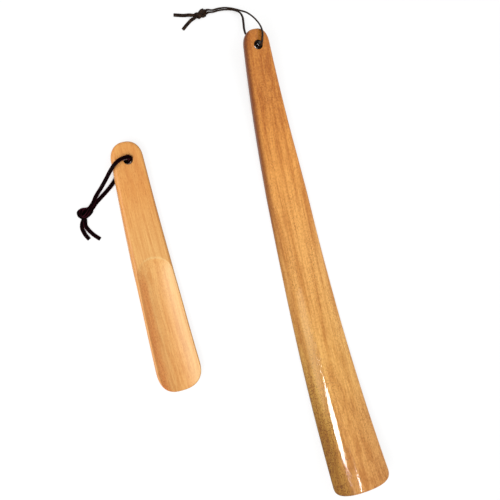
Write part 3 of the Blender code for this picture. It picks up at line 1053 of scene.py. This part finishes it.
LONG_HORN = Horn(
    node="long_horn", lies=Lies.BACK_UP, slot="lacquered_beech", finish=LACQUERED_BEECH,
    centre_x=0.057325, end_y=0.190, length=0.380,
    handle_width=0.0205, neck_width=0.0353, blade_width=0.0505,
    end_thickness=0.0086, thickness=0.0095, handle_crown=0.0008,
    blade_edge=0.0029, blade_wall=0.0031, edge_radius=0.0031,
    handle_round=0.0130, blade_round=0.0105, blade_power=3.8, handle_power=2.6,
    handle_rise=0.0140, blade_rise=0.0170, hole_setback=0.0128,
    neck_share=0.35, rest_shares=(0.33, 0.565), thin_shares=(0.25, 0.52),
    scoop_share=0.395, deep_share=0.15)
SHORT_HORN = Horn(
    node="short_horn", lies=Lies.SCOOP_UP, slot="sanded_beech", finish=SANDED_BEECH,
    centre_x=-0.064675, end_y=0.1225, length=0.1955,
    handle_width=0.0237, neck_width=0.0305, blade_width=0.0358,
    end_thickness=0.0065, thickness=0.0080, handle_crown=0.0,
    blade_edge=0.0027, blade_wall=0.0028, edge_radius=0.0025,
    handle_round=0.0130, blade_round=0.0200, blade_power=2.45, handle_power=2.3,
    handle_rise=0.0065, blade_rise=0.0050, hole_setback=0.0140,
    neck_share=0.51, rest_shares=(0.385, 0.66), thin_shares=(0.44, 0.68),
    scoop_share=0.464, deep_share=0.26, scoop_power=5.0)


# A knot drawn tight along its strands: one turn over the top, one beneath, out in line.
BARREL_COURSE = (
    (-0.90, 0.00, 0.00), (-0.50, 0.10, -0.15), (0.15, 0.30, -0.10), (0.62, 0.62, 0.15),
    (0.60, 0.35, 0.62), (0.20, -0.12, 0.78), (-0.26, -0.62, 0.45), (-0.48, -0.70, -0.15),
    (-0.42, -0.12, -0.60), (-0.28, 0.55, -0.42), (0.00, 0.68, 0.10), (0.34, 0.12, 0.18),
    (0.65, -0.18, 0.05), (0.95, -0.05, 0.00))
# A knot curled up into a ball, with a turn across its strands and its tails out of its side.
BALL_COURSE = (
    (-0.95, -0.35, 0.00), (-0.55, -0.55, -0.25), (-0.05, -0.80, -0.15), (0.40, -0.65, 0.05),
    (0.68, -0.15, 0.15), (0.62, 0.45, 0.25), (0.20, 0.78, 0.35), (-0.25, 0.62, 0.55),
    (-0.65, 0.30, 0.65), (-0.98, -0.10, 0.25), (-0.80, -0.35, -0.45), (-0.30, -0.15, -0.75),
    (0.15, 0.10, -0.60), (0.25, 0.55, -0.55), (0.25, 0.95, -0.55))


@dataclass(frozen=True)
class Knot:
    """An overhand knot tied in both strands at once.

    The course is a list of (along, sideways, up), as shares of half the knot's length and of
    its radius, from where a strand comes in to where its tail leaves.
    """

    centre: Pair
    heading: float
    length: float
    diameter: float
    course: tuple[Point, ...]
    clearance: float = 0.0001
    gap: float = 0.0010
    sideways_share: float = 1.1
    wound_less_share: float = 0.6
    behind_share: float = 0.7

    @property
    def middle(self) -> Point:
        """The knot's middle from the hole's axis, half its thickness over the table."""
        return (*self.centre, self.diameter / 2 + self.clearance)

    @property
    def axis(self) -> np.ndarray:
        """The direction that the knot's length runs in."""
        return np.array([math.cos(self.heading), math.sin(self.heading), 0.0])

    def strand(self, horn: Horn, turn: float) -> np.ndarray:
        """One strand's points through the knot.

        The strand is moved off the course by the gap: sideways where the course runs along
        the axis, and partly backwards where it winds round it.

        Args:
            horn: the horn whose hole the knot's place is measured from.
            turn: -1 for the front strand and 1 for the back one, which lies beside it.

        Returns:
            n x 3 points in the shared frame.
        """
        along = self.axis
        side = np.array([-along[1], along[0], 0.0])
        up = np.array([0.0, 0.0, 1.0])
        half, radius = self.length / 2, self.diameter / 2
        shares = np.array(self.course)
        points = (shares[:, :1] * half * along + shares[:, 1:2] * radius * side
                  + shares[:, 2:] * radius * up)
        wound = np.clip(np.abs(shares[:, 2:]) + np.abs(shares[:, 1:2]), 0.0, 1.0)
        beside = ((self.sideways_share - self.wound_less_share * wound) * side
                  - self.behind_share * wound * along)
        return horn.over_hole((self.middle,)) + points + turn * self.gap * beside


@dataclass(frozen=True)
class Lace:
    """One flat leather lace, from its exit at the hole through the knot to its cut tail.

    Routes give x and y from the middle of the hole and z from the table, in metres. Tilts
    are pairs of a share of the way and the lace's turn about its own line, in degrees.
    """

    name: str
    horn: Horn
    knot: Knot
    turn: float
    route: tuple[Point, ...]
    tail: tuple[Point, ...]
    tilts: tuple[Pair, ...]
    body: str
    nodes: tuple[str, ...]
    slot: str
    leather: Leather
    cut_length: float
    width: float
    depth: float = 0.0013
    squeeze: float = 0.8
    grip_shares: Pair = (0.4, 0.7)
    corner_power: float = 4.0
    end_share: float = 0.86
    cut_edge_shares: Pair = (0.40, 0.50)
    wound_from_shares: Pair = (0.35, 0.75)
    wound_until_shares: Pair = (1.1, 1.5)
    wound_along_shares: Pair = (0.7, 1.1)
    step: float = 0.0005
    curve_steps: int = 24
    round_points: int = 28
    sure_slope: float = 0.35
    smoothing: int = 9

    def line(self) -> np.ndarray:
        """The lace's middle line, evenly spaced, on a centripetal Catmull-Rom curve.

        Returns:
            n x 3 points.
        """
        route = np.concatenate([self.horn.over_hole(self.route),
                                self.knot.strand(self.horn, self.turn),
                                self.horn.over_hole(self.tail)])
        dense = catmull_rom(route, self.curve_steps)
        along = np.concatenate([[0.0], np.cumsum(np.linalg.norm(np.diff(dense, axis=0), axis=1))])
        places = np.linspace(0.0, along[-1], int(along[-1] / self.step) + 1)
        return np.stack([np.interp(places, along, dense[:, k]) for k in range(3)], axis=-1)

    def from_knot(self, line: np.ndarray) -> np.ndarray:
        """Each point of a line, seen from the middle of the knot."""
        return line - self.horn.over_hole((self.knot.middle,))[0]

    def flat_way(self, tangent: np.ndarray) -> np.ndarray:
        """The width's direction away from the knot: level, then turned by the tilts.

        The level direction is square to the heading. Where the lace runs straight up or down,
        the heading is taken from its neighbours.

        Args:
            tangent: the line's direction at each point.

        Returns:
            One unit vector for each point.
        """
        slope = np.hypot(tangent[:, 0], tangent[:, 1])
        index = np.arange(len(tangent))
        sure = slope > self.sure_slope
        heading = np.unwrap(np.arctan2(tangent[sure, 1], tangent[sure, 0]))
        heading = np.interp(index, index[sure], heading)
        level = np.stack([-np.sin(heading), np.cos(heading), np.zeros(len(index))], axis=-1)
        across = np.cross(tangent, level)
        angle = np.radians(np.interp(index / index[-1], *np.array(self.tilts).T))[:, None]
        return level * np.cos(angle) + across * np.sin(angle)

    def wound_way(self, line: np.ndarray, tangent: np.ndarray) -> tuple[np.ndarray, np.ndarray]:
        """The width's direction where the lace is wound round the knot's axis.

        Its face points away from the axis there, so its width is square to that and to its
        line. The share is a smooth step in from the axis, out past the radius and off the
        knot's ends.

        Args:
            line: the middle line's points.
            tangent: the line's direction at each point.

        Returns:
            One unit vector for each point, and the share that it counts for.
        """
        out = self.from_knot(line)
        along = out @ self.knot.axis
        radial = out - along[:, None] * self.knot.axis
        off_axis = np.linalg.norm(radial, axis=1)
        radius, half = self.knot.diameter / 2, self.knot.length / 2
        near = (share * radius for share in self.wound_from_shares)
        far = (share * radius for share in self.wound_until_shares)
        ends = (share * half for share in self.wound_along_shares)
        wound = (ease(*near, off_axis) * (1 - ease(*far, off_axis))
                 * (1 - ease(*ends, np.abs(along))))
        return unit(np.cross(unit(radial), tangent)), wound[:, None]

    def sides(self, line: np.ndarray) -> tuple[np.ndarray, np.ndarray]:
        """The directions of the lace's width and depth at each point of its line.

        The flat and the wound direction are mixed by their share, turned the same way round
        all along, smoothed by a weighted mean of neighbours and squared up to the line.

        Args:
            line: the middle line's points.

        Returns:
            One unit vector for each point, for the width and for the depth.
        """
        tangent = unit(np.gradient(line, axis=0))
        flat = self.flat_way(tangent)
        wound, share = self.wound_way(line, tangent)
        wound = wound * np.where((wound * flat).sum(axis=1) < 0, -1.0, 1.0)[:, None]
        mixed = flat * (1 - share) + wound * share
        turned = np.where((mixed[1:] * mixed[:-1]).sum(axis=1) < 0, -1.0, 1.0)
        mixed = mixed * np.cumprod(np.concatenate([[1.0], turned]))[:, None]
        window = np.hanning(self.smoothing + 2)[1:-1]
        padded = np.pad(mixed, ((self.smoothing // 2,) * 2, (0, 0)), mode="edge")
        smooth = np.stack([np.convolve(padded[:, k], window / window.sum(), "valid")
                           for k in range(3)], axis=-1)
        width_way = unit(smooth - tangent * (smooth * tangent).sum(axis=1, keepdims=True))
        return width_way, np.cross(tangent, width_way)

    def lifted(self, line: np.ndarray) -> np.ndarray:
        """The line raised wherever its section would reach into the table.

        Args:
            line: the middle line's points.

        Returns:
            The raised points.
        """
        width_way, depth_way = self.sides(line)
        low = (np.abs(width_way[:, 2]) * self.width / 2 * self.squeezed(line)
               + np.abs(depth_way[:, 2]) * self.depth / 2 + self.knot.clearance)
        raised = line.copy()
        raised[:, 2] = np.maximum(line[:, 2], low)
        return raised

    def build(self) -> bpy.types.Object:
        """The lace as a closed strip: a superellipse section carried along its line.

        The section is (w/2 |cos|^(2/p), t/2 |sin|^(2/p)) with each term's own sign.

        Returns:
            The mesh object.
        """
        line = self.lifted(self.line())
        width_way, depth_way = self.sides(line)
        angle = np.linspace(0.0, 2 * np.pi, self.round_points, endpoint=False)
        wide, deep = (np.sign(term) * np.abs(term) ** (2 / self.corner_power)
                      for term in (np.cos(angle), np.sin(angle)))
        scale = np.ones(len(line))
        scale[0] = scale[-1] = self.end_share
        width = self.width / 2 * scale * self.squeezed(line)
        section = (wide[None, :, None] * (width[:, None] * width_way)[:, None]
                   + deep[None, :, None] * (self.depth / 2 * scale[:, None] * depth_way)[:, None])
        grid = np.transpose(line[:, None] + section, (1, 0, 2))
        piece = new_piece(self.name, [(grid, True)])
        self.mark_cut_edges(piece, line, width_way)
        self.dress(piece, line)
        return piece

    def dress(self, piece: bpy.types.Object, line: np.ndarray) -> None:
        """Args:
            piece: the strand, which shares its material with the lace's other one.
            line: its middle line; not used.
        """
        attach(piece, self.body)
        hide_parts(*self.nodes)
        shared = bpy.data.materials.get(self.leather.name)
        piece.data.materials.append(shared or self.leather.build())

    def squeezed(self, line: np.ndarray) -> np.ndarray:
        """The share of its width that the lace keeps: less where the knot grips it.

        Args:
            line: the middle line's points.

        Returns:
            One share for each point.
        """
        away = np.linalg.norm(self.from_knot(line), axis=1)
        start, end = (share * self.knot.length for share in self.grip_shares)
        return 1 - (1 - self.squeeze) * (1 - ease(start, end, away))

    def mark_cut_edges(self, piece: bpy.types.Object, line: np.ndarray,
                       width_way: np.ndarray) -> None:
        """Write how far each point is out on a cut edge as the cut_edge attribute.

        Args:
            piece: the lace.
            line: its middle line.
            width_way: the direction of its width at each point of the line.
        """
        points = vertex_places(piece)
        nearest = np.linalg.norm(points[:, None] - line[None], axis=-1).argmin(axis=1)
        out = np.abs(((points - line[nearest]) * width_way[nearest]).sum(axis=1))
        start, end = (share * self.width * self.squeeze for share in self.cut_edge_shares)
        write_attribute(piece, "cut_edge", ease(start, end, out))


def catmull_rom(points: np.ndarray, steps: int) -> np.ndarray:
    """A centripetal Catmull-Rom curve through points, worked out for all stretches at once.

    Each stretch blends its four points in three rounds, every round weighing two neighbours
    by how far t lies between their knots, whose spacing is the root of the points' distance.

    Args:
        points: n x 3 points.
        steps: how many points each stretch gets.

    Returns:
        The curve's points, its first and last among them.
    """
    ends = [points[:1] * 2 - points[1:2], points, points[-1:] * 2 - points[-2:-1]]
    route = np.concatenate(ends)
    corners = np.stack([route[:-3], route[1:-2], route[2:-1], route[3:]], axis=1)
    gaps = np.sqrt(np.linalg.norm(np.diff(corners, axis=1), axis=-1))
    knots = np.concatenate([np.zeros((len(gaps), 1)), np.cumsum(gaps, axis=1)], axis=1)
    t = knots[:, 1:2] + (knots[:, 2:3] - knots[:, 1:2]) * (np.arange(steps) / steps)
    level = [corners[:, i, None] for i in range(4)]
    for pairs in (((0, 1), (1, 2), (2, 3)), ((0, 2), (1, 3)), ((1, 2),)):
        blended = []
        for i, (low, high) in enumerate(pairs):
            span = (knots[:, high] - knots[:, low])[:, None]
            before = ((knots[:, high, None] - t) / span)[..., None]
            after = ((t - knots[:, low, None]) / span)[..., None]
            blended.append(level[i] * before + level[i + 1] * after)
        level = blended
    return np.concatenate([level[0].reshape(-1, 3), points[-1:]])


LONG_KNOT = Knot(centre=(-0.0350, 0.0358), heading=math.radians(194), length=0.0128,
                 diameter=0.0064, course=BARREL_COURSE)
SHORT_KNOT = Knot(centre=(-0.0406, -0.0322), heading=math.radians(190), length=0.0112,
                  diameter=0.0078, course=BALL_COURSE)
# Where a strand stands up on its edge, and where it lies flat, on its way from hole to tail.
UP_THEN_FLAT = ((0.56, 70.0), (0.66, 0.0), (1.0, 0.0))
ON_EDGE_THEN_FLAT = ((0.0, 56.0), (0.28, 56.0), (0.38, 70.0), *UP_THEN_FLAT)
FLAT_IN_THE_HOLE = ((0.0, 0.0), (0.09, 0.0), (0.17, 48.0), (0.33, 48.0), (0.42, 70.0),
                    *UP_THEN_FLAT)
FLAT = ((0.0, 0.0), (1.0, 0.0))
LACES = (
    Lace(
        name="long_front_leather", horn=LONG_HORN, knot=LONG_KNOT, turn=-1,
        body="long_lace", slot="brown_leather", leather=BROWN_LEATHER,
        cut_length=0.130, width=0.0027, tilts=ON_EDGE_THEN_FLAT,
        nodes=("long_lace_front", "long_lace_knot", "long_lace_front_tail"),
        route=((0.0010, -0.0014, 0.0163), (0.0014, -0.0010, 0.0192), (0.0024, 0.0004, 0.0218),
               (0.0030, 0.0040, 0.0239), (0.0038, 0.0068, 0.0245), (0.0042, 0.0105, 0.0240),
               (0.0044, 0.0145, 0.0219), (0.0043, 0.0190, 0.0183), (0.0034, 0.0245, 0.0136),
               (0.0008, 0.0300, 0.0090), (-0.0035, 0.0338, 0.0053), (-0.0090, 0.0370, 0.0030),
               (-0.0145, 0.0385, 0.0022), (-0.0200, 0.0386, 0.0020), (-0.0248, 0.0379, 0.0024)),
        tail=((-0.0452, 0.0366, 0.0018), (-0.0492, 0.0371, 0.0010), (-0.0530, 0.0378, 0.0010),
              (-0.0572, 0.0386, 0.0010))),
    Lace(
        name="long_back_leather", horn=LONG_HORN, knot=LONG_KNOT, turn=1,
        body="long_lace", slot="brown_leather", leather=BROWN_LEATHER,
        cut_length=0.119, width=0.0027, tilts=FLAT_IN_THE_HOLE,
        nodes=("long_lace_back", "long_lace_back_tail"),
        route=((0.0010, -0.0014, 0.0160), (0.0018, -0.0018, 0.0130), (0.0028, -0.0008, 0.0106),
               (0.0024, 0.0017, 0.0100), (0.0006, 0.0048, 0.0092), (-0.0016, 0.0092, 0.0078),
               (-0.0031, 0.0136, 0.0062), (-0.0030, 0.0180, 0.0050), (-0.0020, 0.0235, 0.0042),
               (-0.0012, 0.0285, 0.0032), (-0.0021, 0.0325, 0.0024), (-0.0050, 0.0350, 0.0016),
               (-0.0095, 0.0364, 0.0014), (-0.0145, 0.0371, 0.0014), (-0.0200, 0.0371, 0.0014),
               (-0.0248, 0.0364, 0.0018)),
        tail=((-0.0442, 0.0322, 0.0020), (-0.0478, 0.0298, 0.0011), (-0.0525, 0.0260, 0.0010))),
    Lace(
        name="short_front_leather", horn=SHORT_HORN, knot=SHORT_KNOT, turn=-1,
        body="short_lace", slot="dark_leather", leather=DARK_LEATHER,
        cut_length=0.116, width=0.0031, tilts=FLAT,
        nodes=("short_lace_front", "short_lace_knot", "short_lace_front_tail"),
        route=((0.0014, -0.0006, 0.0086), (0.0020, -0.0002, 0.0115), (0.0016, 0.0008, 0.0138),
               (-0.0012, 0.0014, 0.0151), (-0.0056, 0.0009, 0.0154), (-0.0103, -0.0013, 0.0149),
               (-0.0148, -0.0055, 0.0124), (-0.0191, -0.0107, 0.0085), (-0.0240, -0.0163, 0.0049),
               (-0.0290, -0.0215, 0.0034), (-0.0325, -0.0262, 0.0038)),
        tail=((-0.0440, -0.0404, 0.0014), (-0.0444, -0.0430, 0.0010), (-0.0434, -0.0476, 0.0010),
              (-0.0411, -0.0522, 0.0010))),
    Lace(
        name="short_back_leather", horn=SHORT_HORN, knot=SHORT_KNOT, turn=1,
        body="short_lace", slot="dark_leather", leather=DARK_LEATHER,
        cut_length=0.113, width=0.0031, tilts=FLAT,
        nodes=("short_lace_back", "short_lace_back_tail"),
        route=((0.0014, -0.0006, 0.0083), (0.0007, -0.0006, 0.0056), (-0.0012, -0.0004, 0.0034),
               (-0.0040, -0.0022, 0.0018), (-0.0078, -0.0070, 0.0010), (-0.0127, -0.0130, 0.0010),
               (-0.0189, -0.0184, 0.0010), (-0.0250, -0.0228, 0.0014), (-0.0300, -0.0264, 0.0026)),
        tail=((-0.0415, -0.0412, 0.0020), (-0.0402, -0.0446, 0.0010), (-0.0373, -0.0492, 0.0010),
              (-0.0331, -0.0538, 0.0010))),
)


class LampShape(Enum):
    """The outline of a lamp's face."""

    RECTANGLE = "RECTANGLE"
    OVAL = "ELLIPSE"


@dataclass(frozen=True)
class Softbox:
    """A flat lamp: its place, what it looks at, its sides, its power and what it lights.

    A lamp that isn't mirrored is flagged off: it lights a lacquer without a glare on it.
    """

    name: str
    place: Point
    target: Point
    size: Pair
    watts: float
    lights: tuple[str, ...]
    mirrored: bool
    shape: LampShape = LampShape.RECTANGLE

    def build(self) -> None:
        """Hang the lamp, turned to its target."""
        lamp = bpy.data.lights.new(self.name, "AREA")
        lamp.shape = self.shape.value
        lamp.size, lamp.size_y = self.size
        lamp.energy = self.watts
        holder = bpy.data.objects.new(self.name, lamp)
        holder.matrix_world = looking(self.place, self.target, 0.0)
        holder.visible_camera = False
        holder.visible_glossy = self.mirrored
        bpy.context.scene.collection.objects.link(holder)
        lit = bpy.data.collections.new(self.name + "_lights")
        for name in self.lights:
            lit.objects.link(bpy.data.objects[name])
        holder.light_linking.receiver_collection = lit


# Each lamp lights only what lies on its own side, as the two horns are lit in two ways.
LONG_WOOD = ("long_horn_wood",)
LONG_SIDE = ("long_horn_wood", "long_front_leather", "long_back_leather", "table")
SHORT_SIDE = ("short_horn_wood", "short_front_leather", "short_back_leather", "table")
BLADE_SPOT = (0.047, -0.115, 0.020)
SOFTBOX_SIZE = (0.40, 0.60)
LAMPS = (
    Softbox("tube_lamp", (-0.113, -0.1442, 1.20), BLADE_SPOT, (0.20, 0.0091), 0.35, LONG_WOOD,
            True, LampShape.OVAL),
    Softbox("halo_lamp", (-0.340, -0.1290, 1.20), BLADE_SPOT, (0.42, 0.0230), 0.048, LONG_WOOD,
            True, LampShape.OVAL),
    Softbox("spot_lamp", (0.225, -0.1592, 1.20), (0.055, -0.180, 0.020), (0.06, 0.0018), 0.038,
            LONG_WOOD, True),
    Softbox("right_softbox", (0.36, 0.20, 0.60), (0.057, 0.0, 0.0), SOFTBOX_SIZE, 1.6,
            LONG_SIDE, False),
    Softbox("blade_softbox", (-0.25, -0.25, 0.60), (0.057, -0.1, 0.0), SOFTBOX_SIZE, 1.9,
            LONG_SIDE, False),
    Softbox("left_softbox", (-0.52, -0.10, 0.62), (-0.065, 0.0, 0.0), SOFTBOX_SIZE, 3.9,
            SHORT_SIDE, True),
)


@dataclass(frozen=True)
class Studio:
    """The plain white table, the lamps and the camera.

    The two horns are lit as in two pictures joined. The long one has a softbox from the right
    and one from the left of its blade, neither of which shows in its lacquer, and three narrow
    lamps high up that do: a tube and a fainter halo for the long highlight on its blade, and
    a spot for the glint at its tip. The short one has one softbox, from the left.
    """

    camera_place: Point = (-0.1613, 0.0306, 0.560)
    camera_target: Point = (0.0165, 0.01935, 0.0)
    camera_roll: float = -0.2368
    camera_lens: float = 52.23
    camera_clip: float = 0.01
    table_size: float = 6.0
    table_height: float = -0.0002
    table_points: int = 3
    world_strength: float = 0.45

    def build(self) -> None:
        """Make the stage, the light and the camera, once the horns and laces are there."""
        self.build_table()
        self.build_world()
        for lamp in LAMPS:
            lamp.build()
        camera = bpy.data.cameras.new("camera")
        camera.lens = self.camera_lens
        camera.clip_start = self.camera_clip
        holder = bpy.data.objects.new("camera", camera)
        holder.matrix_world = looking(self.camera_place, self.camera_target, self.camera_roll)
        bpy.context.scene.collection.objects.link(holder)
        bpy.context.scene.camera = holder
        bpy.context.scene.view_settings.view_transform = "Standard"

    def build_table(self) -> None:
        """A white sheet that takes soft shadows and shows white between them."""
        half, count = self.table_size / 2, self.table_points
        ticks = np.linspace(-half, half, count)
        x, y = np.meshgrid(ticks, ticks, indexing="ij")
        points = np.stack([x, y, np.full_like(x, self.table_height)], axis=-1).reshape(-1, 3)
        data = bpy.data.meshes.new("table")
        data.from_pydata(points, [], grid_faces(count, count, 0, False).tolist())
        data.materials.append(Paper().build())
        table = bpy.data.objects.new("table", data)
        bpy.context.scene.collection.objects.link(table)

    def build_world(self) -> None:
        """Even light from all round, seen and mirrored as white."""
        world = bpy.data.worlds.new("white_room")
        bpy.context.scene.world = world
        world.use_nodes = True
        tree = world.node_tree
        light = tree.nodes["Background"]
        feed(tree, light, {"Color": WHITE, "Strength": self.world_strength})
        seen = add(tree, "ShaderNodeBackground", None, {"Color": WHITE, "Strength": 1.0})
        mix = add(tree, "ShaderNodeMixShader", None,
                  {0: seen_ray(tree), 1: light.outputs[0], 2: seen.outputs[0]})
        feed(tree, tree.nodes["World Output"], {"Surface": mix.outputs[0]})


def seen_ray(tree: Tree) -> Socket:
    """1 for a ray from the camera, a mirror or a glass, and 0 for one that only carries light.

    Args:
        tree: the node tree that asks.

    Returns:
        The answer's socket: the largest of the three kinds' own answers.
    """
    rays = add(tree, "ShaderNodeLightPath").outputs
    mirrored = add(tree, "ShaderNodeMath", LARGER,
                   {0: rays["Is Glossy Ray"], 1: rays["Is Transmission Ray"]})
    return add(tree, "ShaderNodeMath", LARGER,
               {0: rays["Is Camera Ray"], 1: mirrored.outputs[0]}).outputs[0]


@dataclass(frozen=True)
class Paper:
    """Matt background paper: it glows white where it is seen, but not right under a horn."""

    shade: str = "#A8A8A6"
    face: str = "#FAFAFA"
    roughness: float = 0.9
    glow_share: float = 0.8
    sky_reach: float = 0.03
    sky_shares: Pair = (0.20, 0.50)

    def build(self) -> bpy.types.Material:
        """The paper's material.

        Returns:
            A new material that reads the kind of ray and how open the sky over a point is.
        """
        material, tree, paper = new_material("matt_white_paper")
        seen = seen_ray(tree)
        tone = add(tree, "ShaderNodeMix", COVER,
                   {MIX_SHARE: seen, MIX_UNDER: hex_colour(self.shade),
                    MIX_OVER: hex_colour(self.face)})
        feed(tree, paper, {"Base Color": tone.outputs[MIX_OUT], "Roughness": self.roughness})
        glow = add(tree, "ShaderNodeEmission", None, {"Color": WHITE, "Strength": 1.0})
        sky = add(tree, "ShaderNodeAmbientOcclusion", {"samples": 8}, {"Distance": self.sky_reach})
        closed, open_sky = self.sky_shares
        clear = add(tree, "ShaderNodeMapRange", SMOOTH,
                    {"Value": sky.outputs["AO"], "From Min": closed, "From Max": open_sky,
                     "To Max": self.glow_share})
        share = add(tree, "ShaderNodeMath", TIMES, {0: seen, 1: clear.outputs[0]})
        mix = add(tree, "ShaderNodeMixShader", None,
                  {0: share.outputs[0], 1: paper.outputs[0], 2: glow.outputs[0]})
        feed(tree, tree.nodes["Material Output"], {"Surface": mix.outputs[0]})
        return material


def looking(place: Point, target: Point, roll: float) -> Matrix:
    """Where something stands that looks at a target, with +Y up in its view before the roll.

    Args:
        place: where it stands.
        target: what it looks at.
        roll: how far it is turned about its line of sight, in radians.

    Returns:
        Its world matrix.
    """
    forward = unit(np.subtract(target, place))
    right = unit(np.cross(forward, (0.0, 1.0, 0.0)))
    up = np.cross(right, forward)
    turned = right * math.cos(roll) + up * math.sin(roll)
    above = up * math.cos(roll) - right * math.sin(roll)
    matrix = np.eye(4)
    matrix[:3, :3] = np.stack([turned, above, -forward], axis=1)
    matrix[:3, 3] = place
    return Matrix(matrix.tolist())


def main() -> None:
    """Build each lace, each horn and the studio in order, and report each piece."""
    logging.basicConfig(level=logging.INFO, format="%(message)s")
    for lace in LACES:
        piece = lace.build()
        length = np.linalg.norm(np.diff(lace.line(), axis=0), axis=1).sum()
        LOG.info("%s: %d faces, %.1f mm long", piece.name, len(piece.data.polygons), length / MM)
    for horn in (LONG_HORN, SHORT_HORN):
        piece = horn.build()
        LOG.info("%s: %d faces", piece.name, len(piece.data.polygons))
    Studio().build()


if __name__ == "__main__":
    main()
